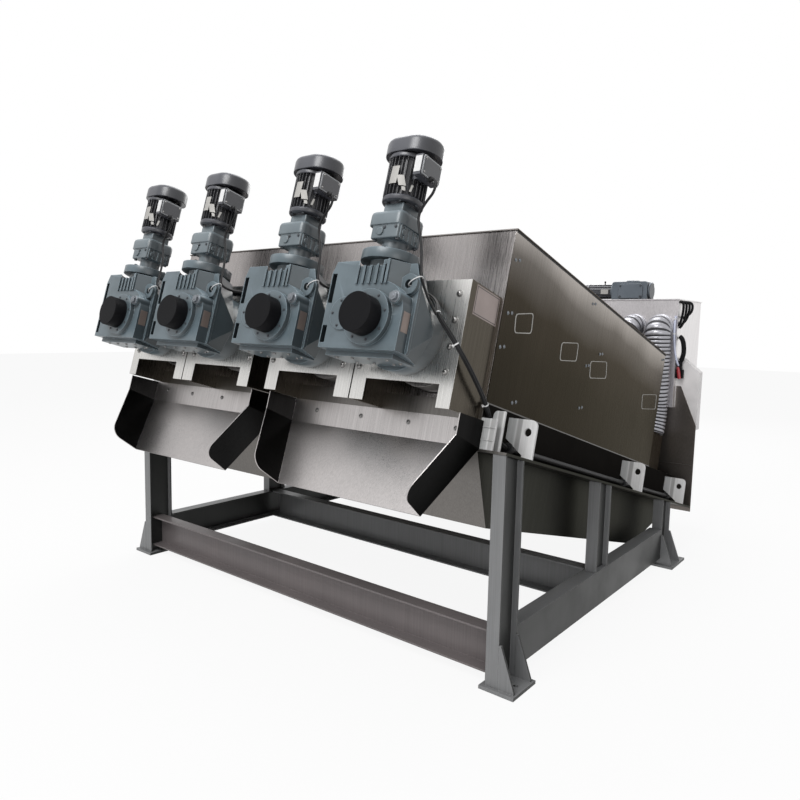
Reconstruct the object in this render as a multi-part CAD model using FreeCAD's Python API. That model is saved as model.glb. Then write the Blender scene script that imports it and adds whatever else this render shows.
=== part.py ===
"""Multi-disc screw press: four inclined screw drums in one stainless body on a steel stand.

Millimetres. The floor is z = 0 and the origin lies between the four corner anchor holes.
+Y runs from the cake outlets at the front to the flocculation tank at the rear.
The body is drawn level in its own frame (x, down the slope, square to the slope) and then tilted.
"""

import FreeCAD, Part
import math
import os

V = FreeCAD.Vector

# Stand: I-section legs, channel beams and corner feet.
FRAME_WIDTH = 2800.0
HALF_FRAME = FRAME_WIDTH / 2.0
FRAME_LENGTH = 2317.0
RAIL_HEIGHT = 1070.0
BODY_TILT = 15.5
LEG_WIDTH = 66.0
LEG_DEPTH = 164.0
LEG_FLANGE = 10.0
LEG_WEB = 8.0
MIDDLE_LEG_SETBACK = 1044.0
BEAM_BOTTOM = 54.0
BEAM_HEIGHT = 202.0
BEAM_REACH = 80.0
BEAM_PLATE = 9.0
CROSS_BEAM_INSET = 30.0
FOOT_PLATE = 16.0
FOOT_REACH = 90.0
FOOT_MARGIN = 20.0
GUSSET_HEIGHT = 200.0
GUSSET_PLATE = 12.0
GUSSET_EDGE = 10.0
ANCHOR_HOLE = 22.0

# Body: trough, rails and cover, in the tilted frame. It reaches back to the bulkhead, where it's cut off upright.
RAIL_WIDTH = 150.0
BODY_HALF_WIDTH = HALF_FRAME - RAIL_WIDTH
BODY_LENGTH = 2906.0
BODY_SPARE = 40.0
BULKHEAD_AT = BODY_LENGTH * math.cos(math.radians(BODY_TILT))
SHEET = 5.0
RAIL_PLATE = 12.0
CURB_HEIGHT = 205.0
TROUGH_LIP = 25.0
TROUGH_KNEE = 10.0
TROUGH_DEPTH = 340.0
TROUGH_FRONT_SLOPE = 200.0
TROUGH_TAIL = 706.0
TROUGH_FLAT_END = BODY_LENGTH - TROUGH_TAIL
TROUGH_REAR_DEPTH = 20.0
COVER_START = 17.0
COVER_SETBACK = 611.0
COVER_END = BODY_LENGTH - COVER_SETBACK
COVER_TOP = 1014.0
COVER_LID = 6.0
COVER_OVERHANG = 6.0

# Screw drums: a stack of rings round each screw, and the pressure plate before its mouth.
DRUM_MARGIN = 294.0
INNER_AXIS = 361.0
OUTER_AXIS = BODY_HALF_WIDTH - DRUM_MARGIN
DRUM_AXES = (-OUTER_AXIS, -INNER_AXIS, INNER_AXIS, OUTER_AXIS)
DRUM_HEIGHT = 430.0
DRUM_RADIUS = 200.0
DRUM_FRONT = -110.0
DRUM_CLEARANCE = 5.0
SHAFT_RADIUS = 45.0
SHAFT_CLEARANCE = 10.0
PRESSURE_PLATE_RADIUS = 185.0
PRESSURE_PLATE = 14.0
PRESSURE_PLATE_FRONT = -185.0

# Box brackets that carry the gear units over the cake outlets.
BRACKET_FRONT = -236.0
BRACKET_PLATE = 10.0
BRACKET_BOTTOM = 128.0
BRACKET_TOP = 688.0
BRACKET_INNER = 70.0
BRACKET_INSET = 18.0
BRACKET_OUTER = BODY_HALF_WIDTH - BRACKET_INSET
BRACKET_SHIFT = 6.5
BRACKET_SPLIT = (INNER_AXIS + OUTER_AXIS) / 2.0 + BRACKET_SHIFT
BRACKET_GAP = 8.0
OUTLET_WIDTH = 410.0
OUTLET_TOP = 229.0

# Gear unit, measured from the screw axis. Its two halves meet at an upright joint flange.
GEAR_SHIFT = -46.0
GEAR_FRONT = -520.0
GEAR_JOINT = -450.0
GEAR_BACK = -322.0
GEAR_LEFT = 262.0
GEAR_RIGHT = 166.0
GEAR_STEP = 60.0
GEAR_SHOULDER = 458.0
GEAR_SHOULDER_RADIUS = 129.0
GEAR_CORNER = 19.0
GEAR_CORNER_DROP = 50.0
GEAR_BOTTOM = 298.0
GEAR_TOP = 680.0
JOINT_HALF = 220.0
JOINT_SIDE = (310.0, 600.0)
JOINT_FLANGE = 16.0
JOINT_PROUD = 5.0
BACK_HALF = 232.0
BACK_SIDE = (409.0, 442.0)
BACK_INSET = 14.0
FOOT_LEAN = 0.48
EAVES_LEAN = 0.41
GEAR_FLANGE_RADIUS = 176.0
GEAR_RIM_RADIUS = 118.0
GEAR_RIM = 25.0
RIB_COUNT = 5
RIB_WIDTH = 11.0
RIB_PITCH = 35.0
RIB_PROUD = 10.0
RIB_TOP = 660.0
POCKET_SKIN = 4.0
POCKET_WIDTH = 27.0
POCKET_DEPTH = 40.0
POCKET_SPANS = ((320.0, 397.0), (495.0, 627.0))
BEARING_AT = (-148.0, 448.0)
BEARING_RADIUS = 72.0
BEARING_PROUD = 8.0
BOSS_AT = (131.0, 513.0)
BOSS_RADIUS = 28.0
BOSS_PROUD = 20.0
EYE_AT = (134.0, 588.0)
EYE_RADIUS = 44.0
EYE_HOLE_RADIUS = 19.0
EYE_PLATE = 18.0
SUMP_LEFT = 257.0
SUMP_RIGHT = 120.0
SUMP_FRONT = -471.0
SUMP_PLATE = 22.0
CAP_RADIUS = 84.0
CAP_DEPTH = 70.0
STACK_DEPTH = -400.0
SCALLOP_RADIUS = 137.0
SCALLOP_DEPTH = 25.0
COLLAR_RADIUS = 92.0
INPUT_FLANGE_RADIUS = 132.0
INPUT_FLANGE_BOTTOM = 694.0
INPUT_FLANGE = 42.0

# Helical unit and motor stacked on the gear unit.
NECK_RADIUS = 53.0
NECK = 48.0
HELICAL_WIDTH = 147.0
HELICAL_DEPTH = 158.0
HELICAL_HEIGHT = 56.0
HELICAL_RIM = 45.0
HELICAL_RIM_PROUD = 6.0
HELICAL_CORNER = 18.0
HELICAL_RIBS = 4
ADAPTOR_WIDTH = 95.0
ADAPTOR_HEIGHT = 60.0
MOTOR_FLANGE_RADIUS = 85.0
MOTOR_FLANGE = 34.0
BARREL_RADIUS = 70.0
BARREL_HEIGHT = 191.0
FIN_REACH = 84.0
FIN_THICK = 6.0
FIN_COUNT = 20
COWL_RADIUS = 97.0
COWL_SHIFT = 50.0
COWL_HEIGHT = 75.0
COWL_GAP = 8.0
COWL_CORNER = 18.0
TERMINAL_REACH = 62.0
TERMINAL_WIDTH = 133.0
TERMINAL_SHIFT = -33.0
TERMINAL_BOTTOM = 61.0
TERMINAL_HEIGHT = 110.0

# Motor leads: each leaves a gland on its terminal box, is tied to the gear unit's eye and joins a trunk.
# The trunk runs along the brackets, down past the right rail's end and on in a conduit beside the trough.
LEAD_RADIUS = 5.0
GLAND_RADIUS = 12.0
GLAND_REACH = 16.0
GLAND_HEIGHT = 20.0
LEAD_WAY = (
    (138, -433, 1060), (140, -430, 1004), (98, -422, 966), (60, -414, 912), (88, -408, 833),
    (124, -420, 750), (153, -440, 677), (181, -458, 617),
)
LEAD_TO_TRUNK = ((190, -396, 606), (198, -318, 622), (214, -250, 646))
LEAD_TO_BUNDLE = ((184, -392, 570), (190, -318, 512))
TRUNK_RADIUS = 11.0
TRUNK_WAY = (
    (-742, -248, 646), (1085, -248, 646), (1130, -268, 600), (1146, -318, 512), (1192, -292, 450),
    (1236, -266, 389), (1260, -212, 334), (1268, -116, 266), (1264, -9, 198), (1263, 62, 122),
    (1270, 134, 64), (1274, 190, 38), (1274, 216, 38),
)
CABLE_RUN_SHARE = 0.45
CONDUIT_RADIUS = 14.0
GROMMET_RADIUS = 22.7
GROMMET_LIP = 4.0

# Discharge chutes, one under each pair of drums, a little wider than the pair of brackets.
CHUTE_INNER_INSET = 2.0
CHUTE_OVERHANG = 14.0
CHUTE_INNER = BRACKET_INNER + CHUTE_INNER_INSET
CHUTE_OUTER = BODY_HALF_WIDTH + CHUTE_OVERHANG
CHUTE_CENTRE = (CHUTE_INNER + CHUTE_OUTER) / 2.0
CHUTE_TOP_HALF = (CHUTE_OUTER - CHUTE_INNER) / 2.0
CHUTE_LIP_HALF = 454.0
CHUTE_SHEET = 5.0
CHUTE_BAND_TOP = 124.0
CHUTE_LIP_REACH = 140.0
CHUTE_LIP_DROP = 333.0
CHEEK_REACH = 195.0
CHEEK_RISE = 32.0
CHEEK_CUT = 0.868
CHEEK_ROUND = 70.0

# Lifting lugs along both rails, and the strap at each rail's front end.
LUG_TAIL = 216.0
LUG_STATIONS = (235.0, 1765.0, BODY_LENGTH - LUG_TAIL)
LUG_PLATE = 14.0
LUG_HEIGHT = 180.0
LUG_HOLE = 38.0
LUG_HOLE_REACH = 108.0
LUG_HOLE_HEIGHT = 122.0
LUG_ROUND = 28.0
LUG_TOE = 54.0
LUG_TOE_HEIGHT = 14.0
LUG_INNER_FOOT = 84.0
STRAP_AT = 50.0
STRAP_PLATE = 12.0
STRAP_WIDTH = 58.0
STRAP_OFF = 26.0
STRAP_HEIGHT = 182.0
STRAP_ROUND = 24.0
STUB_LENGTH = 90.0
STUB_HEIGHT = 138.0
STUB_WIDTH = 77.0
STUB_BEAD = 4.0
STUB_BEADS = (40.0, 96.0)

# Bulkhead, flocculation tank and its mixers, measured from the front of the stand.
BULKHEAD_PLATE = 8.0
BULKHEAD_DROP = 30.0
WING_TOP = 1190.0
WING_CORNER = 900.0
WING_STEP = 25.0
WING_INNER = BODY_HALF_WIDTH + WING_STEP
TANK_INSET = 15.0
TANK_HALF_WIDTH = BODY_HALF_WIDTH - TANK_INSET
TANK_OVERLAP = 40.0
TANK_FRONT = BULKHEAD_AT - TANK_OVERLAP
TANK_DEPTH = 570.0
TANK_BACK = TANK_FRONT + TANK_DEPTH
TANK_BOTTOM = 420.0
TANK_SHOULDER = 1030.0
TANK_TOP = 1830.0
TANK_WALL = 6.0
LID_PLATE = 8.0
LID_OVERHANG = 6.0
SIDE_BOX_BOTTOM = 870.0
SIDE_BOX_TOP = 1400.0
SIDE_BOX_CORNER = 1300.0
SIDE_BOX_DEPTH = 80.0
MIXER_AXIS = 780.0
MIXER_WIDTH = 285.0
MIXER_DEPTH = 160.0
MIXER_HEIGHT = 150.0
MIXER_MOTOR_RADIUS = 62.0
MIXER_MOTOR_LENGTH = 285.0
MIXER_FINS = 12

# Feed hoses from the tank down to the inlet chambers.
CHAMBER_HALF = 230.0
CHAMBER_SETBACK = 206.0
CHAMBER_END = BODY_LENGTH - CHAMBER_SETBACK
CHAMBER_TOP = 660.0
CHAMBER_STEP = 480.0
CHAMBER_ROOF = 105.0
CHAMBER_SLOPE = 80.0
HOSE_RADIUS = 90.0
HOSE_EXIT_HEIGHT = 1628.0
HOSE_EXITS = (911.0, 1109.0)
HOSE_SOCKETS = (511.0, 1100.0)
HOSE_SOCKET_SETBACK = 110.0
HOSE_SOCKET_AT = CHAMBER_END - HOSE_SOCKET_SETBACK
HOSE_RUN = 120.0
HOSE_OVERHANG = 145.0
ELBOW_PIECES = 4

# Pipe connections: filtrate leaves the low end of the trough, sludge enters the back of the tank.
PIPE_RADIUS = 84.0
PIPE_WALL = 6.0
PIPE_FLANGE_RADIUS = 142.0
PIPE_FLANGE = 20.0
OUTLET_SETBACK = 400.0
OUTLET_AT = BULKHEAD_AT - OUTLET_SETBACK
OUTLET_FACE = 90.0
INLET_REACH = 120.0
INLET_HEIGHT = 700.0
INLET_SIDE = -600.0

FRONT_Y = -FRAME_LENGTH / 2.0
BEAM_TOP = BEAM_BOTTOM + BEAM_HEIGHT
COVER_SIDE_TOP = COVER_TOP - COVER_LID
FAR = 4000.0


def block(x0, x1, y0, y1, z0, z1):
    return Part.makeBox(x1 - x0, y1 - y0, z1 - z0, V(x0, y0, z0))


def side_profile(points, x0, x1):
    """Prism along X over (y, z) corners."""
    corners = [V(x0, y, z) for y, z in points]
    return Part.Face(Part.makePolygon(corners + corners[:1])).extrude(V(x1 - x0, 0, 0))


def front_profile(points, y0, y1):
    """Prism along Y over (x, z) corners."""
    corners = [V(x, y0, z) for x, z in points]
    return Part.Face(Part.makePolygon(corners + corners[:1])).extrude(V(0, y1 - y0, 0))


def plan_profile(points, z0, z1):
    """Prism along Z over (x, y) corners."""
    corners = [V(x, y, z0) for x, y in points]
    return Part.Face(Part.makePolygon(corners + corners[:1])).extrude(V(0, 0, z1 - z0))


def along_y(x, z, radius, y0, y1):
    return Part.makeCylinder(radius, y1 - y0, V(x, y0, z), V(0, 1, 0))


def upright(x, y, radius, z0, z1):
    return Part.makeCylinder(radius, z1 - z0, V(x, y, z0), V(0, 0, 1))


def joined(shapes):
    body = shapes[0]
    if len(shapes) > 1:
        body = body.fuse(shapes[1:])
    return body.removeSplitter()


def mirrored(shape):
    return shape.mirror(V(0, 0, 0), V(1, 0, 0))


def tilted(shape):
    """From the body's own level frame to its place on the stand."""
    placed = shape.copy()
    placed.rotate(V(0, 0, 0), V(1, 0, 0), -BODY_TILT)
    placed.translate(V(0, FRONT_Y, RAIL_HEIGHT))
    return placed


def tilted_point(x, y, z):
    slope = math.radians(BODY_TILT)
    along = FRONT_Y + y * math.cos(slope) + z * math.sin(slope)
    return V(x, along, RAIL_HEIGHT - y * math.sin(slope) + z * math.cos(slope))


def save(name, shape):
    shape.exportStep("parts/" + name + ".step")


def under_rails():
    """All the room above the underside of the rails."""
    return tilted(block(-FAR, FAR, -FAR, FAR, -RAIL_PLATE, FAR))


def behind_bulkhead():
    return block(-FAR, FAR, FRONT_Y + BULKHEAD_AT, FRONT_Y + 2 * FAR, -FAR, FAR)


def leg(setback, bottom):
    """Right-hand I-section leg, its head cut to the slope of the rail."""
    x0 = HALF_FRAME - LEG_WIDTH
    y0 = FRONT_Y + setback
    y1 = y0 + LEG_DEPTH
    web = HALF_FRAME - LEG_WIDTH / 2.0
    front = block(x0, HALF_FRAME, y0, y0 + LEG_FLANGE, bottom, RAIL_HEIGHT)
    back = block(x0, HALF_FRAME, y1 - LEG_FLANGE, y1, bottom, RAIL_HEIGHT)
    middle = block(web - LEG_WEB / 2.0, web + LEG_WEB / 2.0, y0, y1, bottom, RAIL_HEIGHT)
    return joined([front, back, middle]).cut(under_rails())


def cross_beam(half_length, setback):
    """Channel across the stand, its open side to the front."""
    tip = FRONT_Y + setback + CROSS_BEAM_INSET
    back = tip + BEAM_REACH
    web = block(-half_length, half_length, back - BEAM_PLATE, back, BEAM_BOTTOM, BEAM_TOP)
    foot_flange = block(-half_length, half_length, tip, back, BEAM_BOTTOM, BEAM_BOTTOM + BEAM_PLATE)
    head_flange = block(-half_length, half_length, tip, back, BEAM_TOP - BEAM_PLATE, BEAM_TOP)
    return joined([web, foot_flange, head_flange])


def side_beam():
    x1 = HALF_FRAME
    x0 = HALF_FRAME - BEAM_REACH
    y0 = FRONT_Y + LEG_DEPTH
    y1 = FRONT_Y + FRAME_LENGTH - LEG_DEPTH
    web = block(x1 - BEAM_PLATE, x1, y0, y1, BEAM_BOTTOM, BEAM_TOP)
    foot = block(x0, x1, y0, y1, BEAM_BOTTOM, BEAM_BOTTOM + BEAM_PLATE)
    head = block(x0, x1, y0, y1, BEAM_TOP - BEAM_PLATE, BEAM_TOP)
    return joined([web, foot, head])


def foot(setback, rear):
    """Right-hand foot plate with gussets standing against its leg."""
    y0 = FRONT_Y + setback
    y1 = y0 + LEG_DEPTH
    x_in = HALF_FRAME - LEG_WIDTH - FOOT_MARGIN
    x_out = HALF_FRAME + FOOT_REACH
    back = y1 + (FOOT_REACH if rear else FOOT_MARGIN)
    pieces = [block(x_in, x_out, y0 - FOOT_MARGIN, back, 0, FOOT_PLATE)]
    tip = x_out - GUSSET_EDGE
    side = [(HALF_FRAME, FOOT_PLATE), (tip, FOOT_PLATE), (tip, FOOT_PLATE + GUSSET_EDGE)]
    side += [(HALF_FRAME + GUSSET_EDGE, FOOT_PLATE + GUSSET_HEIGHT), (HALF_FRAME, FOOT_PLATE + GUSSET_HEIGHT)]
    pieces.append(front_profile(side, y0, y0 + GUSSET_PLATE))
    pieces.append(front_profile(side, y1 - GUSSET_PLATE, y1))
    if rear:
        tip = back - GUSSET_EDGE
        web = HALF_FRAME - LEG_WIDTH / 2.0
        face = [(y1, FOOT_PLATE), (tip, FOOT_PLATE), (tip, FOOT_PLATE + GUSSET_EDGE)]
        face += [(y1 + GUSSET_EDGE, FOOT_PLATE + GUSSET_HEIGHT), (y1, FOOT_PLATE + GUSSET_HEIGHT)]
        pieces.append(side_profile(face, web - GUSSET_PLATE / 2.0, web + GUSSET_PLATE / 2.0))
    hole = upright(HALF_FRAME + FOOT_REACH / 2.0, (y0 + y1) / 2.0, ANCHOR_HOLE / 2.0, -1, FOOT_PLATE + 1)
    return joined(pieces).cut(hole)


def build_stand():
    rear = FRAME_LENGTH - LEG_DEPTH
    stations = (("front", 0.0, FOOT_PLATE), ("middle", MIDDLE_LEG_SETBACK, BEAM_TOP), ("rear", rear, FOOT_PLATE))
    for name, setback, bottom in stations:
        shape = leg(setback, bottom)
        save("leg_" + name + "_right", shape)
        save("leg_" + name + "_left", mirrored(shape))
    beam = side_beam()
    save("side_beam_right", beam)
    save("side_beam_left", mirrored(beam))
    to_web = HALF_FRAME - (LEG_WIDTH + LEG_WEB) / 2.0
    save("front_beam", cross_beam(to_web, 0.0))
    save("middle_beam", cross_beam(HALF_FRAME - BEAM_REACH, MIDDLE_LEG_SETBACK))
    feet = [foot(0.0, False), foot(rear, True)]
    save("feet", Part.makeCompound(feet + [mirrored(f) for f in feet]))


def trough_outline(inset, rise):
    """Side outline of the trough, drawn in by inset on every wall, its top raised by rise."""
    front_run = math.hypot(TROUGH_FRONT_SLOPE, TROUGH_DEPTH + TROUGH_KNEE)
    rear_run = BODY_LENGTH - TROUGH_FLAT_END
    rear_rise = TROUGH_DEPTH - TROUGH_REAR_DEPTH
    rear_slope = math.hypot(rear_run, rear_rise)
    front_shift = inset * front_run / (TROUGH_DEPTH + TROUGH_KNEE)
    floor = -TROUGH_DEPTH + inset
    lean = TROUGH_FRONT_SLOPE / (TROUGH_DEPTH + TROUGH_KNEE)
    knee_z = TROUGH_KNEE + (front_shift - inset) / lean
    foot_y = (TROUGH_KNEE - floor) * lean + front_shift
    rear_lift = inset * rear_slope / rear_run
    flat_end = TROUGH_FLAT_END - (rear_lift - inset) * rear_run / rear_rise
    end = BODY_LENGTH + BODY_SPARE
    rear_z = -TROUGH_REAR_DEPTH + rear_lift + BODY_SPARE * rear_rise / rear_run
    top = CURB_HEIGHT + rise
    return [(inset, top), (inset, knee_z), (foot_y, floor), (flat_end, floor), (end, rear_z), (end, top)]


def outlet_bore():
    """Room of the filtrate pipe's bore, from inside the trough down to the flange face."""
    inside = OUTLET_FACE + BEAM_HEIGHT
    return upright(0, FRONT_Y + OUTLET_AT, PIPE_RADIUS - PIPE_WALL, OUTLET_FACE - 1, inside)


def build_trough():
    outer = side_profile(trough_outline(0.0, 0.0), -BODY_HALF_WIDTH, BODY_HALF_WIDTH)
    inner_half = BODY_HALF_WIDTH - SHEET
    inner = side_profile(trough_outline(SHEET, 1.0), -inner_half, inner_half)
    ledge = block(-inner_half, inner_half, 0, TROUGH_LIP, CURB_HEIGHT - SHEET, CURB_HEIGHT)
    shell = joined([outer.cut(inner), ledge])
    save("filtrate_trough", tilted(shell).cut([behind_bulkhead(), outlet_bore()]))
    at = FRONT_Y + OUTLET_AT
    pipe = upright(0, at, PIPE_RADIUS, OUTLET_FACE, OUTLET_FACE + BEAM_HEIGHT)
    flange = upright(0, at, PIPE_FLANGE_RADIUS, OUTLET_FACE, OUTLET_FACE + PIPE_FLANGE)
    save("filtrate_outlet", joined([pipe.cut(tilted(outer)), flange]).cut(outlet_bore()))


def build_rails():
    rail = block(BODY_HALF_WIDTH, HALF_FRAME, 0, BODY_LENGTH + BODY_SPARE, -RAIL_PLATE, 0)
    rail = tilted(rail).cut(behind_bulkhead())
    save("rail_right", rail)
    save("rail_left", mirrored(rail))


def build_cover():
    inner = BODY_HALF_WIDTH - SHEET
    side = block(inner, BODY_HALF_WIDTH, COVER_START, COVER_END, CURB_HEIGHT, COVER_SIDE_TOP)
    save("cover_right", tilted(side))
    save("cover_left", mirrored(tilted(side)))
    front_to = COVER_START + SHEET
    front = block(-inner, inner, COVER_START, front_to, CURB_HEIGHT, COVER_SIDE_TOP)
    radius = DRUM_RADIUS + DRUM_CLEARANCE
    holes = [along_y(x, DRUM_HEIGHT, radius, COVER_START - 1, front_to + 1) for x in DRUM_AXES]
    save("cover_front", tilted(front.cut(holes)))
    rear = block(-inner, inner, COVER_END - SHEET, COVER_END, CURB_HEIGHT, COVER_SIDE_TOP)
    save("cover_rear", tilted(rear))
    half = BODY_HALF_WIDTH + COVER_OVERHANG
    lid_from = COVER_START - COVER_OVERHANG
    lid = block(-half, half, lid_from, COVER_END + COVER_OVERHANG, COVER_SIDE_TOP, COVER_TOP)
    save("cover_top", tilted(lid))


def screw_drum(axis):
    """Ring stack round the screw as one sleeve, the pressure plate and the shaft to the drive."""
    shapes = [along_y(axis, DRUM_HEIGHT, DRUM_RADIUS, DRUM_FRONT, COVER_END - SHEET)]
    plate_back = PRESSURE_PLATE_FRONT + PRESSURE_PLATE
    shapes.append(along_y(axis, DRUM_HEIGHT, PRESSURE_PLATE_RADIUS, PRESSURE_PLATE_FRONT, plate_back))
    shapes.append(along_y(axis, DRUM_HEIGHT, SHAFT_RADIUS, BRACKET_FRONT, DRUM_FRONT))
    return joined(shapes)


def bracket_span(axis):
    inner, outer = BRACKET_INNER, BRACKET_SPLIT - BRACKET_GAP / 2.0
    if abs(axis) > BRACKET_SPLIT:
        inner, outer = BRACKET_SPLIT + BRACKET_GAP / 2.0, BRACKET_OUTER
    return (inner, outer) if axis > 0 else (-outer, -inner)


def drive_bracket(axis):
    """Box bracket, open below and behind, its front plate cut out over the cake outlet."""
    x0, x1 = bracket_span(axis)
    plate_back = BRACKET_FRONT + BRACKET_PLATE
    half = OUTLET_WIDTH / 2.0
    outline = [(x0, BRACKET_BOTTOM), (axis - half, BRACKET_BOTTOM), (axis - half, OUTLET_TOP)]
    outline += [(axis + half, OUTLET_TOP), (axis + half, BRACKET_BOTTOM), (x1, BRACKET_BOTTOM)]
    outline += [(x1, BRACKET_TOP), (x0, BRACKET_TOP)]
    front = front_profile(outline, BRACKET_FRONT, plate_back)
    hole = along_y(axis, DRUM_HEIGHT, SHAFT_RADIUS + SHAFT_CLEARANCE, BRACKET_FRONT - 1, plate_back + 1)
    cheek = [(BRACKET_FRONT, BRACKET_BOTTOM), (0, BRACKET_BOTTOM), (0, CURB_HEIGHT)]
    cheek += [(COVER_START, CURB_HEIGHT), (COVER_START, BRACKET_TOP), (BRACKET_FRONT, BRACKET_TOP)]
    left = side_profile(cheek, x0, x0 + BRACKET_PLATE)
    right = side_profile(cheek, x1 - BRACKET_PLATE, x1)
    roof = block(x0, x1, BRACKET_FRONT, COVER_START, BRACKET_TOP - BRACKET_PLATE, BRACKET_TOP)
    return joined([front.cut(hole), left, right, roof])


def gear_front(axis):
    """Front half of the housing: its right side steps out over a round shoulder."""
    left, right, step = axis - GEAR_LEFT, axis + GEAR_RIGHT, axis + GEAR_STEP
    centre = right - GEAR_SHOULDER_RADIUS
    turn = math.acos((step - centre) / GEAR_SHOULDER_RADIUS)
    crown_x = centre + GEAR_SHOULDER_RADIUS * math.cos(turn / 2.0)
    crown_z = GEAR_SHOULDER + GEAR_SHOULDER_RADIUS * math.sin(turn / 2.0)
    step_z = GEAR_SHOULDER + GEAR_SHOULDER_RADIUS * math.sin(turn)
    outline = [(step, step_z), (step, GEAR_TOP), (left + GEAR_CORNER, GEAR_TOP), (left, GEAR_TOP - GEAR_CORNER_DROP)]
    outline += [(left, GEAR_BOTTOM), (right, GEAR_BOTTOM), (right, GEAR_SHOULDER)]
    corners = [V(x, GEAR_FRONT, z) for x, z in outline]
    edges = [Part.LineSegment(one, two).toShape() for one, two in zip(corners, corners[1:])]
    edges.append(Part.Arc(corners[-1], V(crown_x, GEAR_FRONT, crown_z), corners[0]).toShape())
    return Part.Face(Part.Wire(edges)).extrude(V(0, GEAR_JOINT - GEAR_FRONT, 0))


def housing_ring(axis, y, half, side, inset):
    """Corners across the housing: upright sides between two heights, leaning in below and above them."""
    middle = axis + GEAR_SHIFT
    foot, top = GEAR_BOTTOM - inset, GEAR_TOP - inset
    halves = [(half - (side[0] - foot) * FOOT_LEAN, foot), (half, side[0])]
    halves += [(half, side[1]), (half - (top - side[1]) * EAVES_LEAN, top)]
    right = [V(middle + reach, y, z) for reach, z in halves]
    return right + [V(middle - reach, y, z) for reach, z in reversed(halves)]


def flat_face(corners):
    return Part.Face(Part.makePolygon(corners + corners[:1]))


def tapered(front, back):
    """Solid between two outlines whose matching edges are parallel, so that its sides are flat."""
    faces = [flat_face(front), flat_face(back)]
    for index in range(len(front)):
        before = index - 1
        faces.append(flat_face([front[before], front[index], back[index], back[before]]))
    solid = Part.Solid(Part.Shell(faces))
    return solid if solid.Volume > 0 else solid.reversed()


def gear_back(axis):
    """Back half, tapering from the joint flange to the bracket."""
    at_joint = housing_ring(axis, GEAR_JOINT, JOINT_HALF, JOINT_SIDE, 0.0)
    at_back = housing_ring(axis, GEAR_BACK, BACK_HALF, BACK_SIDE, BACK_INSET)
    edge = housing_ring(axis, GEAR_JOINT - JOINT_FLANGE / 2.0, JOINT_HALF + JOINT_PROUD, JOINT_SIDE, 0.0)
    return [tapered(at_joint, at_back), flat_face(edge).extrude(V(0, JOINT_FLANGE, 0))]


def gear_ribs(axis):
    """Short ribs under the input flange, and one down the corner over the shoulder."""
    shapes = []
    centre = axis + GEAR_SHIFT + GEAR_CORNER / 2.0
    front = GEAR_FRONT - RIB_PROUD
    foot_z = GEAR_SHOULDER + GEAR_SHOULDER_RADIUS - RIB_WIDTH
    for rib in range(RIB_COUNT):
        x0 = centre + (rib - (RIB_COUNT - 1) / 2.0) * RIB_PITCH - RIB_WIDTH / 2.0
        shapes.append(block(x0, x0 + RIB_WIDTH, front, GEAR_FRONT, foot_z, RIB_TOP))
    corner = axis + GEAR_STEP
    shapes.append(block(corner - RIB_WIDTH, corner, front, GEAR_FRONT, foot_z, GEAR_TOP))
    return shapes


def gear_bosses(axis):
    """Bearing cover, bolt boss, eye and the web behind it."""
    eye_x, eye_z = axis + EYE_AT[0], EYE_AT[1]
    joint_face = GEAR_JOINT - JOINT_FLANGE / 2.0
    shapes = [along_y(axis + BEARING_AT[0], BEARING_AT[1], BEARING_RADIUS, GEAR_FRONT - BEARING_PROUD, GEAR_FRONT)]
    shapes.append(along_y(axis + BOSS_AT[0], BOSS_AT[1], BOSS_RADIUS, GEAR_FRONT - BOSS_PROUD, GEAR_JOINT))
    shapes.append(along_y(eye_x, eye_z, EYE_RADIUS, joint_face - EYE_PLATE, joint_face))
    web_x = axis + GEAR_STEP
    web = [(web_x, GEAR_FRONT), (eye_x - EYE_HOLE_RADIUS, joint_face), (web_x, joint_face)]
    shapes.append(plan_profile(web, BOSS_AT[1], GEAR_TOP))
    return shapes


def gear_unit(axis):
    """Cast gear housing with its sump plate, collar and flanges."""
    middle = axis + GEAR_SHIFT
    shapes = [gear_front(axis)] + gear_back(axis) + gear_ribs(axis) + gear_bosses(axis)
    sump_from = GEAR_BOTTOM - SUMP_PLATE
    shapes.append(block(axis - SUMP_LEFT, axis + SUMP_RIGHT, SUMP_FRONT, GEAR_BACK, sump_from, GEAR_BOTTOM))
    body = joined(shapes)
    scallop_z = GEAR_TOP - SCALLOP_DEPTH
    body = body.cut(upright(middle, STACK_DEPTH, SCALLOP_RADIUS, scallop_z, GEAR_TOP + 1))
    eye = along_y(axis + EYE_AT[0], EYE_AT[1], EYE_HOLE_RADIUS, GEAR_FRONT, GEAR_JOINT)
    wall = axis - GEAR_LEFT + POCKET_SKIN
    pockets = [block(wall, wall + POCKET_WIDTH, GEAR_FRONT, GEAR_FRONT + POCKET_DEPTH, z0, z1) for z0, z1 in POCKET_SPANS]
    body = body.cut([eye] + pockets)
    collar = upright(middle, STACK_DEPTH, COLLAR_RADIUS, scallop_z, INPUT_FLANGE_BOTTOM)
    flange_top = INPUT_FLANGE_BOTTOM + INPUT_FLANGE
    flange = upright(middle, STACK_DEPTH, INPUT_FLANGE_RADIUS, INPUT_FLANGE_BOTTOM, flange_top)
    seat = along_y(axis, DRUM_HEIGHT, GEAR_FLANGE_RADIUS, GEAR_BACK, BRACKET_FRONT)
    rim = along_y(axis, DRUM_HEIGHT, GEAR_RIM_RADIUS, GEAR_FRONT - GEAR_RIM, GEAR_FRONT)
    return joined([body, collar, flange, seat, rim])


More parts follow.
